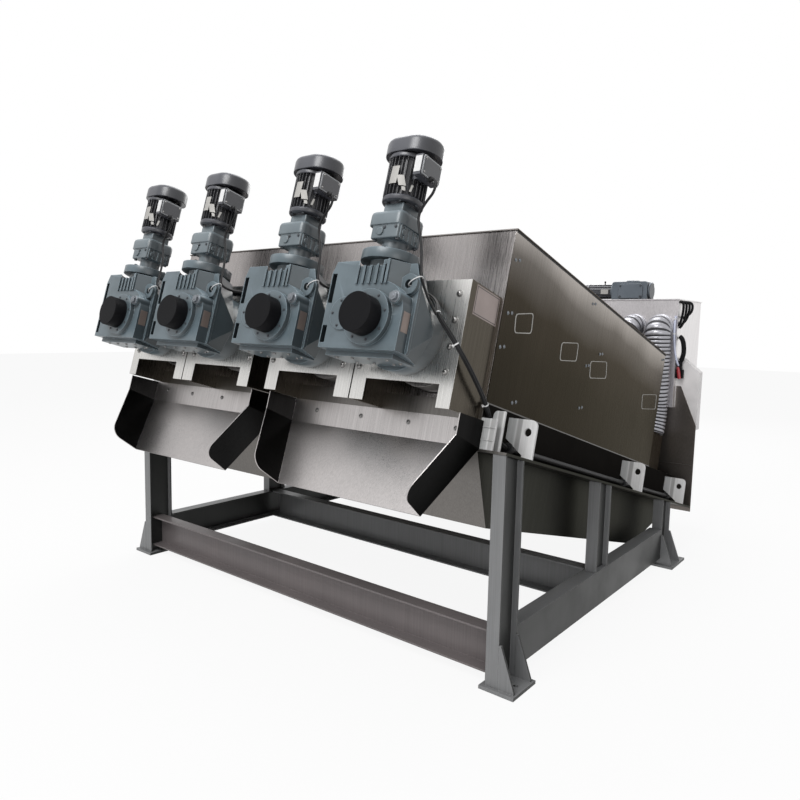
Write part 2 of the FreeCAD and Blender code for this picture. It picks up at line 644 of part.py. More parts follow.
def helical_unit(axis):
    """Neck, stepped case and square adaptor under the motor."""
    middle = axis + GEAR_SHIFT
    base = INPUT_FLANGE_BOTTOM + INPUT_FLANGE
    case = base + NECK
    rim = case + HELICAL_HEIGHT
    adaptor = rim + HELICAL_RIM
    half_x, half_y = HELICAL_WIDTH / 2.0, HELICAL_DEPTH / 2.0
    proud = HELICAL_RIM_PROUD
    half = ADAPTOR_WIDTH / 2.0
    y = STACK_DEPTH
    shapes = [upright(middle, y, NECK_RADIUS, base, case)]
    shapes.append(block(middle - half_x, middle + half_x, y - half_y, y + half_y, case, rim))
    wide = block(middle - half_x - proud, middle + half_x + proud, y - half_y - proud, y + half_y + proud, rim, adaptor)
    uprights = [e for e in wide.Edges if abs(e.tangentAt(e.FirstParameter).z) > 0.9]
    shapes.append(wide.makeChamfer(HELICAL_CORNER, uprights))
    pitch = HELICAL_DEPTH / HELICAL_RIBS
    for rib in range(HELICAL_RIBS):
        rib_y = y - half_y + (rib + 0.5) * pitch - RIB_WIDTH / 2.0
        shapes.append(block(middle + half_x, middle + half_x + proud, rib_y, rib_y + RIB_WIDTH, case, rim))
    shapes.append(block(middle - half, middle + half, y - half, y + half, adaptor, adaptor + ADAPTOR_HEIGHT))
    return joined(shapes)


def motor_base():
    return INPUT_FLANGE_BOTTOM + INPUT_FLANGE + NECK + HELICAL_HEIGHT + HELICAL_RIM + ADAPTOR_HEIGHT


def fins(x, y, z0, z1, core, reach, count):
    """Straight cooling fins round an upright barrel."""
    plates = []
    for index in range(count):
        plate = block(core - 4, reach, -FIN_THICK / 2.0, FIN_THICK / 2.0, z0, z1)
        plate.rotate(V(0, 0, 0), V(0, 0, 1), 360.0 * (index + 0.5) / count)
        plate.translate(V(x, y, 0))
        plates.append(plate)
    return plates


def drive_motor(axis):
    """Finned motor with its end shields, rain cowl and terminal box."""
    x = axis + GEAR_SHIFT
    y = STACK_DEPTH
    base = motor_base()
    barrel = base + MOTOR_FLANGE
    head = barrel + BARREL_HEIGHT
    shapes = [upright(x, y, MOTOR_FLANGE_RADIUS, base, barrel)]
    shapes.append(upright(x, y, BARREL_RADIUS, barrel, head + COWL_GAP))
    shapes += fins(x, y, barrel, head, BARREL_RADIUS, FIN_REACH, FIN_COUNT)
    cowl = head + COWL_GAP
    cap = upright(x, y, COWL_RADIUS, cowl, cowl + COWL_HEIGHT)
    wide = block(x, x + COWL_SHIFT, y - COWL_RADIUS, y + COWL_RADIUS, cowl, cowl + COWL_HEIGHT)
    far = upright(x + COWL_SHIFT, y, COWL_RADIUS, cowl, cowl + COWL_HEIGHT)
    hood = joined([cap, wide, far])
    rim = [e for e in hood.Edges if min(v.Z for v in e.Vertexes) > cowl + COWL_HEIGHT - 0.1]
    shapes.append(hood.makeChamfer(COWL_CORNER, rim))
    half = TERMINAL_WIDTH / 2.0
    low = barrel + TERMINAL_BOTTOM
    box_y = y + TERMINAL_SHIFT
    shapes.append(block(x, terminal_face(axis), box_y - half, box_y + half, low, low + TERMINAL_HEIGHT))
    return joined(shapes)


def terminal_face(axis):
    """Outer end of the terminal box."""
    return axis + GEAR_SHIFT + FIN_REACH + TERMINAL_REACH


def shaft_cap(axis):
    front = GEAR_FRONT - GEAR_RIM
    return along_y(axis, DRUM_HEIGHT, CAP_RADIUS, front - CAP_DEPTH, front)


def build_drives():
    caps, helicals, drums = [], [], []
    for index, axis in enumerate(DRUM_AXES):
        number = str(index + 1)
        save("drive_bracket_" + number, tilted(drive_bracket(axis)))
        save("gear_unit_" + number, tilted(gear_unit(axis)))
        save("drive_motor_" + number, tilted(drive_motor(axis)))
        helicals.append(tilted(helical_unit(axis)))
        caps.append(tilted(shaft_cap(axis)))
        drums.append(tilted(screw_drum(axis)))
    save("helical_units", Part.makeCompound(helicals))
    save("shaft_caps", Part.makeCompound(caps))
    save("screw_drums", Part.makeCompound(drums))


def plate_from(points, thickness, towards):
    """Flat plate over 3-D corners, thickened to the side where the point towards lies."""
    face = Part.Face(Part.makePolygon(points + points[:1]))
    normal = (points[1] - points[0]).cross(points[2] - points[1])
    normal.normalize()
    if normal.dot(towards - points[0]) < 0:
        normal = normal.negative()
    return face.extrude(normal * thickness)


def rounded_plate(points, corner, radius, thickness, towards):
    """plate_from with the corner of that index rounded."""
    before, at, after = points[corner - 1], points[corner], points[(corner + 1) % len(points)]
    one = before - at
    one.normalize()
    two = after - at
    two.normalize()
    half = math.acos(one.dot(two)) / 2.0
    run = radius / math.tan(half)
    middle = one + two
    middle.normalize()
    crown = at + middle * (radius / math.sin(half) - radius)
    start, end = at + one * run, at + two * run
    edges = [Part.LineSegment(before, start).toShape(), Part.Arc(start, crown, end).toShape()]
    edges.append(Part.LineSegment(end, after).toShape())
    for step in range(1, len(points) - 2):
        here = points[(corner + step) % len(points)]
        there = points[(corner + step + 1) % len(points)]
        edges.append(Part.LineSegment(here, there).toShape())
    last = points[(corner - 2) % len(points)]
    edges.append(Part.LineSegment(last, before).toShape())
    face = Part.Face(Part.Wire(edges))
    normal = (points[1] - points[0]).cross(points[2] - points[1])
    normal.normalize()
    if normal.dot(towards - points[0]) < 0:
        normal = normal.negative()
    return face.extrude(normal * thickness)


def chute_cheek(side):
    """Upper cheek standing square and lower cheek folded in towards the lip."""
    inside = V(CHUTE_CENTRE, -CHUTE_LIP_REACH, -CHUTE_LIP_DROP / 2.0)
    top_x = CHUTE_CENTRE + side * CHUTE_TOP_HALF
    lip_x = CHUTE_CENTRE + side * CHUTE_LIP_HALF
    fold = V(top_x, 0, 0)
    fold_front = V(top_x, -CHEEK_REACH, CHEEK_RISE)
    tip = V(lip_x, -CHUTE_LIP_REACH, -CHUTE_LIP_DROP)
    low_front = fold + (tip - fold) * CHEEK_CUT + (fold_front - fold)
    upper = [fold, fold_front, V(top_x, -CHEEK_REACH, CHUTE_BAND_TOP), V(top_x, 0, CHUTE_BAND_TOP)]
    lower = [fold, fold_front, low_front, tip]
    return [plate_from(upper, CHUTE_SHEET, inside), rounded_plate(lower, 2, CHEEK_ROUND, CHUTE_SHEET, inside)]


def discharge_chute():
    ahead = V(CHUTE_CENTRE, -FAR, 0)
    left, right = CHUTE_INNER, CHUTE_OUTER
    band = block(left, right, -CHUTE_SHEET, 0, 0, CHUTE_BAND_TOP)
    slope = [V(left, 0, 0), V(right, 0, 0)]
    slope.append(V(CHUTE_CENTRE + CHUTE_LIP_HALF, -CHUTE_LIP_REACH, -CHUTE_LIP_DROP))
    slope.append(V(CHUTE_CENTRE - CHUTE_LIP_HALF, -CHUTE_LIP_REACH, -CHUTE_LIP_DROP))
    return joined([band, plate_from(slope, CHUTE_SHEET, ahead)] + chute_cheek(-1) + chute_cheek(1))


def lug(station):
    """Lifting plate standing on the rail and against the trough, its inner foot cut away over the conduit."""
    toe = HALF_FRAME - LUG_TOE
    outline = [V(toe, station, LUG_TOE_HEIGHT), V(toe, station, 0), V(HALF_FRAME, station, 0)]
    outline += [V(HALF_FRAME, station, LUG_HEIGHT), V(BODY_HALF_WIDTH, station, LUG_HEIGHT)]
    outline.append(V(BODY_HALF_WIDTH, station, LUG_INNER_FOOT))
    plate = rounded_plate(outline, 3, LUG_ROUND, LUG_PLATE, V(BODY_HALF_WIDTH, station + FAR, 0))
    back = station + LUG_PLATE
    hole = along_y(BODY_HALF_WIDTH + LUG_HOLE_REACH, LUG_HOLE_HEIGHT, LUG_HOLE / 2.0, station - 1, back + 1)
    return tilted(plate.cut(hole))


def rail_end():
    """Strap standing on the front end of the rail, and the stub of side wall before it with two beads."""
    inner = BODY_HALF_WIDTH + STRAP_OFF
    outline = [V(inner, STRAP_AT, 0), V(inner + STRAP_WIDTH, STRAP_AT, 0)]
    outline += [V(inner + STRAP_WIDTH, STRAP_AT, STRAP_HEIGHT), V(inner, STRAP_AT, STRAP_HEIGHT)]
    strap = rounded_plate(outline, 3, STRAP_ROUND, STRAP_PLATE, V(inner, FAR, 0))
    stub_end = BODY_HALF_WIDTH + STUB_WIDTH
    stub = block(BODY_HALF_WIDTH, stub_end, 0, STRAP_PLATE, 0, STUB_HEIGHT)
    beads = [block(CHUTE_OUTER, stub_end, -STUB_BEAD, 0, z, z + STUB_BEAD) for z in STUB_BEADS]
    return [tilted(strap), tilted(joined([stub] + beads))]


def build_chutes_and_lugs():
    chute = tilted(discharge_chute())
    save("discharge_chute_right", chute)
    save("discharge_chute_left", mirrored(chute))
    lugs = [lug(station) for station in LUG_STATIONS] + rail_end()
    save("lifting_lugs_right", Part.makeCompound(lugs))
    save("lifting_lugs_left", Part.makeCompound([mirrored(piece) for piece in lugs]))


def build_bulkhead():
    slope = math.radians(BODY_TILT)
    low = RAIL_HEIGHT - BULKHEAD_AT * math.tan(slope) - RAIL_PLATE / math.cos(slope) - BULKHEAD_DROP
    half = TANK_HALF_WIDTH + BULKHEAD_PLATE
    right = [(HALF_FRAME, low), (HALF_FRAME, WING_CORNER), (WING_INNER, WING_TOP), (half, WING_TOP), (half, TANK_SHOULDER)]
    outline = right + [(-x, z) for x, z in reversed(right)]
    y0 = FRONT_Y + BULKHEAD_AT
    save("rear_bulkhead", front_profile(outline, y0, y0 + BULKHEAD_PLATE))


def tank_outline(inset, rise):
    """Side outline of the tank: the upper part stands forward over the bulkhead."""
    low_front = FRONT_Y + BULKHEAD_AT + BULKHEAD_PLATE + inset
    high_front = FRONT_Y + TANK_FRONT + inset
    back = FRONT_Y + TANK_BACK - inset
    floor = TANK_BOTTOM + inset
    shoulder = TANK_SHOULDER + inset
    top = TANK_TOP + rise
    return [(low_front, floor), (back, floor), (back, top), (high_front, top), (high_front, shoulder), (low_front, shoulder)]


def build_tank():
    half = TANK_HALF_WIDTH
    outer = side_profile(tank_outline(0.0, 0.0), -half, half)
    inner = side_profile(tank_outline(TANK_WALL, 1.0), -half + TANK_WALL, half - TANK_WALL)
    wall = FRONT_Y + TANK_BACK
    bore = along_y(INLET_SIDE, INLET_HEIGHT, PIPE_RADIUS - PIPE_WALL, wall - TANK_WALL - 1, wall + INLET_REACH + 1)
    save("tank_shell", outer.cut([inner, bore]))
    pipe = along_y(INLET_SIDE, INLET_HEIGHT, PIPE_RADIUS, wall, wall + INLET_REACH)
    flange_from = wall + INLET_REACH - PIPE_FLANGE
    flange = along_y(INLET_SIDE, INLET_HEIGHT, PIPE_FLANGE_RADIUS, flange_from, wall + INLET_REACH)
    save("sludge_inlet", joined([pipe, flange]).cut(bore))
    over = half + LID_OVERHANG
    front = FRONT_Y + TANK_FRONT - LID_OVERHANG
    back = FRONT_Y + TANK_BACK + LID_OVERHANG
    save("tank_lid", block(-over, over, front, back, TANK_TOP, TANK_TOP + LID_PLATE))
    front = FRONT_Y + BULKHEAD_AT + BULKHEAD_PLATE
    outline = [(half, SIDE_BOX_BOTTOM), (HALF_FRAME, SIDE_BOX_BOTTOM), (HALF_FRAME, SIDE_BOX_CORNER)]
    outline += [(WING_INNER, SIDE_BOX_TOP), (half, SIDE_BOX_TOP)]
    side_box = front_profile(outline, front, front + SIDE_BOX_DEPTH)
    save("side_boxes", Part.makeCompound([side_box, mirrored(side_box)]))


def build_mixers():
    seat = TANK_TOP + LID_PLATE
    middle_y = FRONT_Y + (TANK_FRONT + TANK_BACK) / 2.0
    x0, x1 = MIXER_AXIS - MIXER_WIDTH / 2.0, MIXER_AXIS + MIXER_WIDTH / 2.0
    case = block(x0, x1, middle_y - MIXER_DEPTH / 2.0, middle_y + MIXER_DEPTH / 2.0, seat, seat + MIXER_HEIGHT)
    case = case.makeFillet(20, [e for e in case.Edges if abs(e.tangentAt(e.FirstParameter).y) > 0.9])
    save("mixer_gear_units", Part.makeCompound([case, mirrored(case)]))
    core = MIXER_MOTOR_RADIUS * BARREL_RADIUS / FIN_REACH
    barrel = [upright(0, 0, core, 0, MIXER_MOTOR_LENGTH)]
    barrel.append(upright(0, 0, MIXER_MOTOR_RADIUS, 0, MOTOR_FLANGE / 2.0))
    barrel.append(upright(0, 0, MIXER_MOTOR_RADIUS, MIXER_MOTOR_LENGTH * 0.75, MIXER_MOTOR_LENGTH))
    barrel += fins(0, 0, 0, MIXER_MOTOR_LENGTH * 0.75, core, MIXER_MOTOR_RADIUS - 2, MIXER_FINS)
    motor = joined(barrel)
    motor.rotate(V(0, 0, 0), V(0, 1, 0), -90)
    motor.translate(V(x0, middle_y, seat + MIXER_HEIGHT / 2.0))
    save("mixer_motors", Part.makeCompound([motor, mirrored(motor)]))


def round_corner(before, corner, after, run):
    """Arc that leaves both straight runs at that distance from their corner."""
    one, two = before - corner, after - corner
    one.normalize()
    two.normalize()
    half = math.acos(one.dot(two)) / 2.0
    radius = run * math.tan(half)
    middle = one + two
    middle.normalize()
    crown = corner + middle * (radius / math.sin(half) - radius)
    return Part.Arc(corner + one * run, crown, corner + two * run).toShape()


def cable_section(at, along, radius):
    """Eight-sided outline round the start of a cable."""
    across = along.cross(V(0, 0, 1))
    across.normalize()
    up = across.cross(along)
    up.normalize()
    turns = [math.radians(45.0 * step) for step in range(8)]
    corners = [at + (across * math.cos(turn) + up * math.sin(turn)) * radius for turn in turns]
    return Part.makePolygon(corners + corners[:1])


def cable(way, radius):
    """Eight-sided cable of straight runs joined by arcs as large as the runs allow."""
    edges = []
    at = way[0]
    for before, corner, after in zip(way, way[1:], way[2:]):
        run = CABLE_RUN_SHARE * min((corner - before).Length, (after - corner).Length)
        bend = round_corner(before, corner, after, run)
        start, end = bend.discretize(2)
        edges += [Part.LineSegment(at, start).toShape(), bend]
        at = end
    edges.append(Part.LineSegment(at, way[-1]).toShape())
    section = cable_section(way[0], way[1] - way[0], radius)
    return Part.Wire(edges).makePipeShell([section], True, False)


def hose(exit_x, socket_x):
    """Hose from the tank's front wall, over its bend and down to its socket on the chamber."""
    start = V(exit_x, FRONT_Y + TANK_FRONT, HOSE_EXIT_HEIGHT)
    crown = V(exit_x, FRONT_Y + TANK_FRONT - HOSE_OVERHANG, HOSE_EXIT_HEIGHT)
    above = tilted_point(socket_x, HOSE_SOCKET_AT, CHAMBER_STEP + HOSE_OVERHANG)
    seat = tilted_point(socket_x, HOSE_SOCKET_AT, CHAMBER_STEP)
    points = [start] + round_corner(start, crown, above, HOSE_RUN).discretize(ELBOW_PIECES) + [above, seat]
    ring = Part.Wire([Part.makeCircle(HOSE_RADIUS, points[0], points[1] - points[0])])
    return Part.makePolygon(points).makePipeShell([ring], True, False, 1)


def build_feed():
    """Inlet chambers on the drums' lower ends and the hoses that feed them from the tank."""
    roof_end = COVER_END + CHAMBER_ROOF
    outline = [(COVER_END, CURB_HEIGHT), (CHAMBER_END, CURB_HEIGHT), (CHAMBER_END, CHAMBER_STEP)]
    outline += [(roof_end + CHAMBER_SLOPE, CHAMBER_STEP), (roof_end, CHAMBER_TOP), (COVER_END, CHAMBER_TOP)]
    chambers = [tilted(side_profile(outline, x - CHAMBER_HALF, x + CHAMBER_HALF)) for x in DRUM_AXES]
    save("inlet_chambers", Part.makeCompound(chambers))
    hoses = [hose(exit_x, socket_x) for exit_x, socket_x in zip(HOSE_EXITS, HOSE_SOCKETS)]
    save("feed_hoses", Part.makeCompound(hoses + [mirrored(shape) for shape in hoses]))


def motor_lead(axis):
    """One motor's gland and its lead down to the trunk, or from the last motor into the bundle."""
    height = motor_base() + MOTOR_FLANGE + TERMINAL_BOTTOM + GLAND_HEIGHT
    seat = V(terminal_face(axis), STACK_DEPTH + TERMINAL_SHIFT, height)
    gland = Part.makeCylinder(GLAND_RADIUS, GLAND_REACH, seat, V(1, 0, 0))
    way = LEAD_WAY + (LEAD_TO_BUNDLE if axis == OUTER_AXIS else LEAD_TO_TRUNK)
    points = [seat + V(GLAND_REACH, 0, 0)] + [V(axis + x, y, z) for x, y, z in way]
    return [gland, cable(points, LEAD_RADIUS)]


def conduit():
    """Conduit along the foot of the trough, in a grommet under each lug, as far as the bulkhead."""
    x, start, z = TRUNK_WAY[-1]
    shapes = [along_y(x, z, CONDUIT_RADIUS, start, BODY_LENGTH + BODY_SPARE)]
    for station in LUG_STATIONS:
        shapes.append(along_y(x, z, GROMMET_RADIUS, station - GROMMET_LIP, station + LUG_PLATE + GROMMET_LIP))
    return joined(shapes)


def build_cables():
    shapes = [cable([V(x, y, z) for x, y, z in TRUNK_WAY], TRUNK_RADIUS)]
    for axis in DRUM_AXES:
        shapes += motor_lead(axis)
    save("motor_cables", tilted(joined(shapes)))
    save("cable_conduit", tilted(conduit()).cut(behind_bulkhead()))


def main():
    os.makedirs("parts", exist_ok=True)
    build_stand()
    build_trough()
    build_rails()
    build_cover()
    build_drives()
    build_chutes_and_lugs()
    build_bulkhead()
    build_tank()
    build_mixers()
    build_feed()
    build_cables()


main()
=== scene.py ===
"""Looks of the multi-disc screw press: materials, fasteners, hoses, cables, light and camera round the CAD.

Pieces are drawn in millimetres, in the body's level frame (x, y down the slope, z square to it), which the
body's own tilt puts in place, or in the stand's upright frame. Both have y = 0 at the body's front edge.
"""
import math

import bmesh
import bpy
from mathutils import Matrix, Vector


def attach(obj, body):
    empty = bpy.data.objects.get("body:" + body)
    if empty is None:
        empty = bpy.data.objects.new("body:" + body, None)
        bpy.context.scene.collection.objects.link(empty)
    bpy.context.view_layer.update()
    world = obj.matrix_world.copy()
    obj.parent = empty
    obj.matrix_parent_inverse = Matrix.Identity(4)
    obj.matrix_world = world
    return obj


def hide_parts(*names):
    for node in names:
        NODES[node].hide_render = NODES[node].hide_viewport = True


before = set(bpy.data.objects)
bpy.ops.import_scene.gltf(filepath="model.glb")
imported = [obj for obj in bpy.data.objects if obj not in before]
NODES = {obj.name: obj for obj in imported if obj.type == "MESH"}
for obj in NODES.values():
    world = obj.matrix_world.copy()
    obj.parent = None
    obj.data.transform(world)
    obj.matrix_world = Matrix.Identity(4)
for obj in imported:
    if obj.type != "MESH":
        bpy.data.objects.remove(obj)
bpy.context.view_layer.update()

# The two frames: y of the body's front edge and height of its rails there, in the row frame
FRONT = -1158.5
RAIL = 1070.0
SLOPE = math.radians(15.5)
MM = Matrix.Scale(0.001, 4)
BODY = MM @ Matrix.Translation((0, FRONT, RAIL)) @ Matrix.Rotation(-SLOPE, 4, "X")
STAND = MM @ Matrix.Translation((0, FRONT, 0))
SIDES = ((1, "right"), (-1, "left"))

# Camera fitted to the photo, in metres
CAMERA_AT = (2.821, -3.669, 1.591)
CAMERA_RIGHT = (0.7802003, 0.6251577, 0.021574)
CAMERA_UP = (-0.083597, 0.0700257, 0.9940362)
CAMERA_AHEAD = (-0.6199186, 0.7773508, -0.1068954)
FOCUS_PIXELS = 684.05
PHOTO_PIXELS = 800.0
SENSOR = 36.0

# Lamps: name, place, aim, size and power. Then the world's strength for unseen rays, and the floor.
LAMPS = (
    ("key", (0.5, -5.5, 7.0), (0.0, -0.8, 1.2), 3.6, 330),
    ("fill", (7.0, -5.5, 3.5), (0.3, 0.0, 1.0), 3.5, 90),
    ("top", (-1.0, 1.5, 7.0), (0.0, 0.3, 1.0), 5.0, 220),
    ("back", (-2.5, 8.0, 4.0), (0.0, 1.5, 1.0), 4.0, 160),
)
WORLD_DIM = 0.55
FLOOR_HALF = 30
FLOOR_TONE = 0.72
FLOOR_SHARE = 0.91

# Body: side sheets, brackets (side, edges, inset of the low outer screw), rails, lugs, chutes and outlines
COVER_SIDE = 1250.0
COVER_FRONT = 17
COVER_REAR = 2295
COVER_HEM = 204.5
COVER_TOP = 1008
CURB_REAR = 2880
TRIM = 2.0
BRACKETS = (
    (-1, 669.0, 1232.0, 52.0), (-1, 70.0, 661.0, 70.0), (1, 70.0, 661.0, 70.0), (1, 669.0, 1232.0, 52.0),
)
BRACKET_FACE = -236.0
BRACKET_LOW_ROW = 281.0
BRACKET_ROWS = (392.0, 509.0, 625.0)
INNER_INSET = 28
OUTER_INSET = 52
COVER_PAIRS = (
    (50, 879), (946, 957), (988, 611), (987, 371), (63, 632), (46, 469), (240, 251), (1150, 720), (2240, 960),
)
PAIR_STEP = (34, 10)
RAIL_SCREWS = 10
RAIL_FIRST = 358.0
RAIL_PITCH = 245.0
RAIL_ROW = 45.0
LUG_ROOM = 90
LUG_STATIONS = (235.0, 1765.0, 2690.0)
CHUTE_SCREWS = (250.0, 560.0, 860.0, 1130.0)
CHUTE_FACE = -5.0
CHUTE_ROW = 75.0
CONDUIT_X = 1274
CONDUIT_Z = 38
OUTLINES = (
    ((131, 650), (297, 704), (310, 604), (147, 561)), ((642, 653), (847, 705), (856, 603), (652, 557)),
    ((1036, 651), (1272, 706), (1296, 608), (1057, 556)), ((1946, 649), (2232, 708), (2252, 606), (1971, 554)),
)
OUTLINE_CORNER = 22
OUTLINE_WIDTH = 7
OUTLINE_RISE = 1.2

# Drive stacks: drum axes, the stacks' centre from them, gear unit faces, and heights up the stack
AXES = (-956.0, -361.0, 361.0, 956.0)
STACK = -400.0
STACK_SHIFT = -46.0
GEAR_HEIGHT = 430
RIM_FACE = -545
GEAR_FACE = -528
CAP_FACE = -615
SUMP = 276
SUMP_BOLTS = (
    (-215, -440), (-123, -440), (-30, -440), (70, -440), (-170, -355), (-70, -355), (42, -357), (95, -380),
)
PLUG_X = 131
PLUG_Z = 513
INPUT_TOP = 736
CASE_LOW = 796
CASE_HALF = 79
CASE_MIDDLE = 826
ADAPTOR_LOW = 915
FLANGE_LOW = 966
BARREL = 76
FINS = 28
FIN_LOW = 990
FIN_HIGH = 1160
HOOD_TOP = 1252.5
TERMINAL_FACE = 100
TERMINAL_LOW = 1056.0
TERMINAL_HIGH = 1146.0
TERMINAL_FRONT = STACK - 99.5
TERMINAL_MIDDLE = STACK - 33.0
GLAND = (100, -433, 1060)

# Motor leads from a drum axis, and the trunk that they join; the last motor's lead joins lower down
LEAD_WAY = (
    (116, -433, 1060), (138, -433, 1060), (140, -430, 1004), (98, -422, 966), (60, -414, 912), (88, -408, 833),
    (124, -420, 750), (153, -440, 677), (181, -458, 617),
)
LEAD_TO_TRUNK = ((190, -396, 606), (198, -318, 622), (214, -250, 646))
LEAD_TO_BUNDLE = ((180, -420, 580), (178, -372, 544), (186, -322, 506))
LEAD_RADIUS = 6.0
TRUNK_WAY = (
    (-742, -248, 646), (960, -248, 642), (1050, -250, 606), (1106, -276, 560), (1136, -310, 520),
    (1162, -314, 488), (1200, -290, 440), (1236, -266, 389), (1260, -212, 334), (1268, -116, 266),
    (1264, -9, 198), (1263, 62, 122), (1270, 134, 64), (1274, 190, 38), (1274, 216, 38),
)
STRANDS = 5
STRAND_RADIUS = 4.4
STRAND_OFFSET = 6.6
STRAND_TWIST = 0.012
TIE_PLACES = ((1140, -308, 515), (1232, -268, 394), (1264, -9, 198))

# Feed hoses: way in the stand's frame and x of the socket; the radii and looks repeat along each rib, and the
# look of the valleys between ribs is painted shade
HOSES = (
    (((1112, 2760.3, 1630), (1120, 2668, 1642), (1132, 2664, 1480), (1142, 2664, 1200)), 1132.0),
    (((911, 2760.3, 1630), (905, 2668, 1642), (850, 2664, 1440), (640, 2660, 1130)), 511.0),
)
SOCKET_ABOVE = (2612, 620)
SOCKET_SEAT = (2600, 480)
RIB_RADII = (80.0, 86.0, 89.5, 90.0, 89.5, 86.0)
RIB_LOOKS = (1, 0, 0, 0, 0, 1)
RIB_STEP = 4.6

# Rear: side valve with its hoses, cable straps on the tank, and the mixer drives
VALVE_HANDLE = ((1254, 2768, 1334), (1262, 2766, 1300), (1270, 2766, 1248))
CLEAR_WAY = (
    (1222, 2752, 1712), (1219, 2742, 1660), (1222, 2740, 1560),
    (1232, 2748, 1440), (1252, 2766, 1352), (1258, 2786, 1340),
)
BLACK_WAY = (
    (1246, 2800, 1560), (1266, 2796, 1548), (1282, 2792, 1490), (1284, 2790, 1420), (1268, 2790, 1382),
)
CLIP_HEIGHTS = (1580, 1690)
STRAPS = ((0, 1640), (27, 1625), (54, 1650), (81, 1700))
STRAP_Y = 2775
MIXER_Y = 3045.3
MIXER_Z = 1913
MIXER_FACE = 2965.3
COVER_PLATE = 7.0


# Camera and light

def make_camera():
    data = bpy.data.cameras.new("photo_camera")
    data.sensor_width = SENSOR
    data.lens = FOCUS_PIXELS / PHOTO_PIXELS * SENSOR
    data.clip_end = 200.0
    camera = bpy.data.objects.new("photo_camera", data)
    turn = Matrix((Vector(CAMERA_RIGHT), Vector(CAMERA_UP), -Vector(CAMERA_AHEAD))).transposed().to_4x4()
    camera.matrix_world = Matrix.Translation(CAMERA_AT) @ turn
    bpy.context.collection.objects.link(camera)
    bpy.context.scene.camera = camera


def area_lamp(name, place, aim, size, power):
    data = bpy.data.lights.new(name, "AREA")
    data.shape = "DISK"
    data.size = size
    data.energy = power
    lamp = bpy.data.objects.new(name, data)
    lamp.location = place
    lamp.rotation_mode = "QUATERNION"
    lamp.rotation_quaternion = (Vector(aim) - Vector(place)).to_track_quat("-Z", "Y")
    bpy.context.collection.objects.link(lamp)


def put(node, **values):
    """The node, with these values in its inputs; an underscore stands for a space."""
    for key, value in values.items():
        node.inputs[key.replace("_", " ")].default_value = value
    return node


def empty_tree(owner):
    owner.use_nodes = True
    owner.node_tree.nodes.clear()
    return owner.node_tree


def seen_rays(tree):
    """1 for camera, glossy and transmitted rays."""
    path = tree.nodes.new("ShaderNodeLightPath")
    seen = path.outputs["Is Camera Ray"]
    for kind in ("Is Glossy Ray", "Is Transmission Ray"):
        either = tree.nodes.new("ShaderNodeMath")
        either.operation = "MAXIMUM"
        tree.links.new(seen, either.inputs[0])
        tree.links.new(path.outputs[kind], either.inputs[1])
        seen = either.outputs[0]
    return seen


def mixed_output(tree, kind, share, unseen, seen):
    """An output node of that kind with two shaders, mixed by share."""
    out = tree.nodes.new(kind)
    mix = tree.nodes.new("ShaderNodeMixShader")
    tree.links.new(share, mix.inputs[0])
    tree.links.new(unseen.outputs[0], mix.inputs[1])
    tree.links.new(seen.outputs[0], mix.inputs[2])
    tree.links.new(mix.outputs[0], out.inputs[0])


def make_room():
    bpy.context.scene.view_settings.view_transform = "Standard"
    world = bpy.data.worlds.new("studio")
    tree = empty_tree(world)
    dim, white = (put(tree.nodes.new("ShaderNodeBackground"), Color=(1, 1, 1, 1), Strength=strength)
                  for strength in (WORLD_DIM, 1.0))
    mixed_output(tree, "ShaderNodeOutputWorld", seen_rays(tree), dim, white)
    bpy.context.scene.world = world

    mesh = bpy.data.meshes.new("floor")
    corners = [(x * FLOOR_HALF, y * FLOOR_HALF, 0) for x, y in ((-1, -1), (1, -1), (1, 1), (-1, 1))]
    mesh.from_pydata(corners, [], [(0, 1, 2, 3)])
    floor = bpy.data.objects.new("floor", mesh)
    bpy.context.collection.objects.link(floor)
    paint = bpy.data.materials.new("pale_floor")
    tree = empty_tree(paint)
    matt = put(tree.nodes.new("ShaderNodeBsdfDiffuse"), Color=(FLOOR_TONE, FLOOR_TONE, FLOOR_TONE, 1))
    glow = tree.nodes.new("ShaderNodeEmission")
    share = tree.nodes.new("ShaderNodeMath")
    share.operation = "MULTIPLY"
    share.inputs[1].default_value = FLOOR_SHARE
    tree.links.new(seen_rays(tree), share.inputs[0])
    mixed_output(tree, "ShaderNodeOutputMaterial", share.outputs[0], matt, glow)
    floor.data.materials.append(paint)
    for lamp in LAMPS:
        area_lamp(*lamp)


# Materials

def scaled(colour, factor):
    return tuple(min(1.0, part * factor) for part in colour)


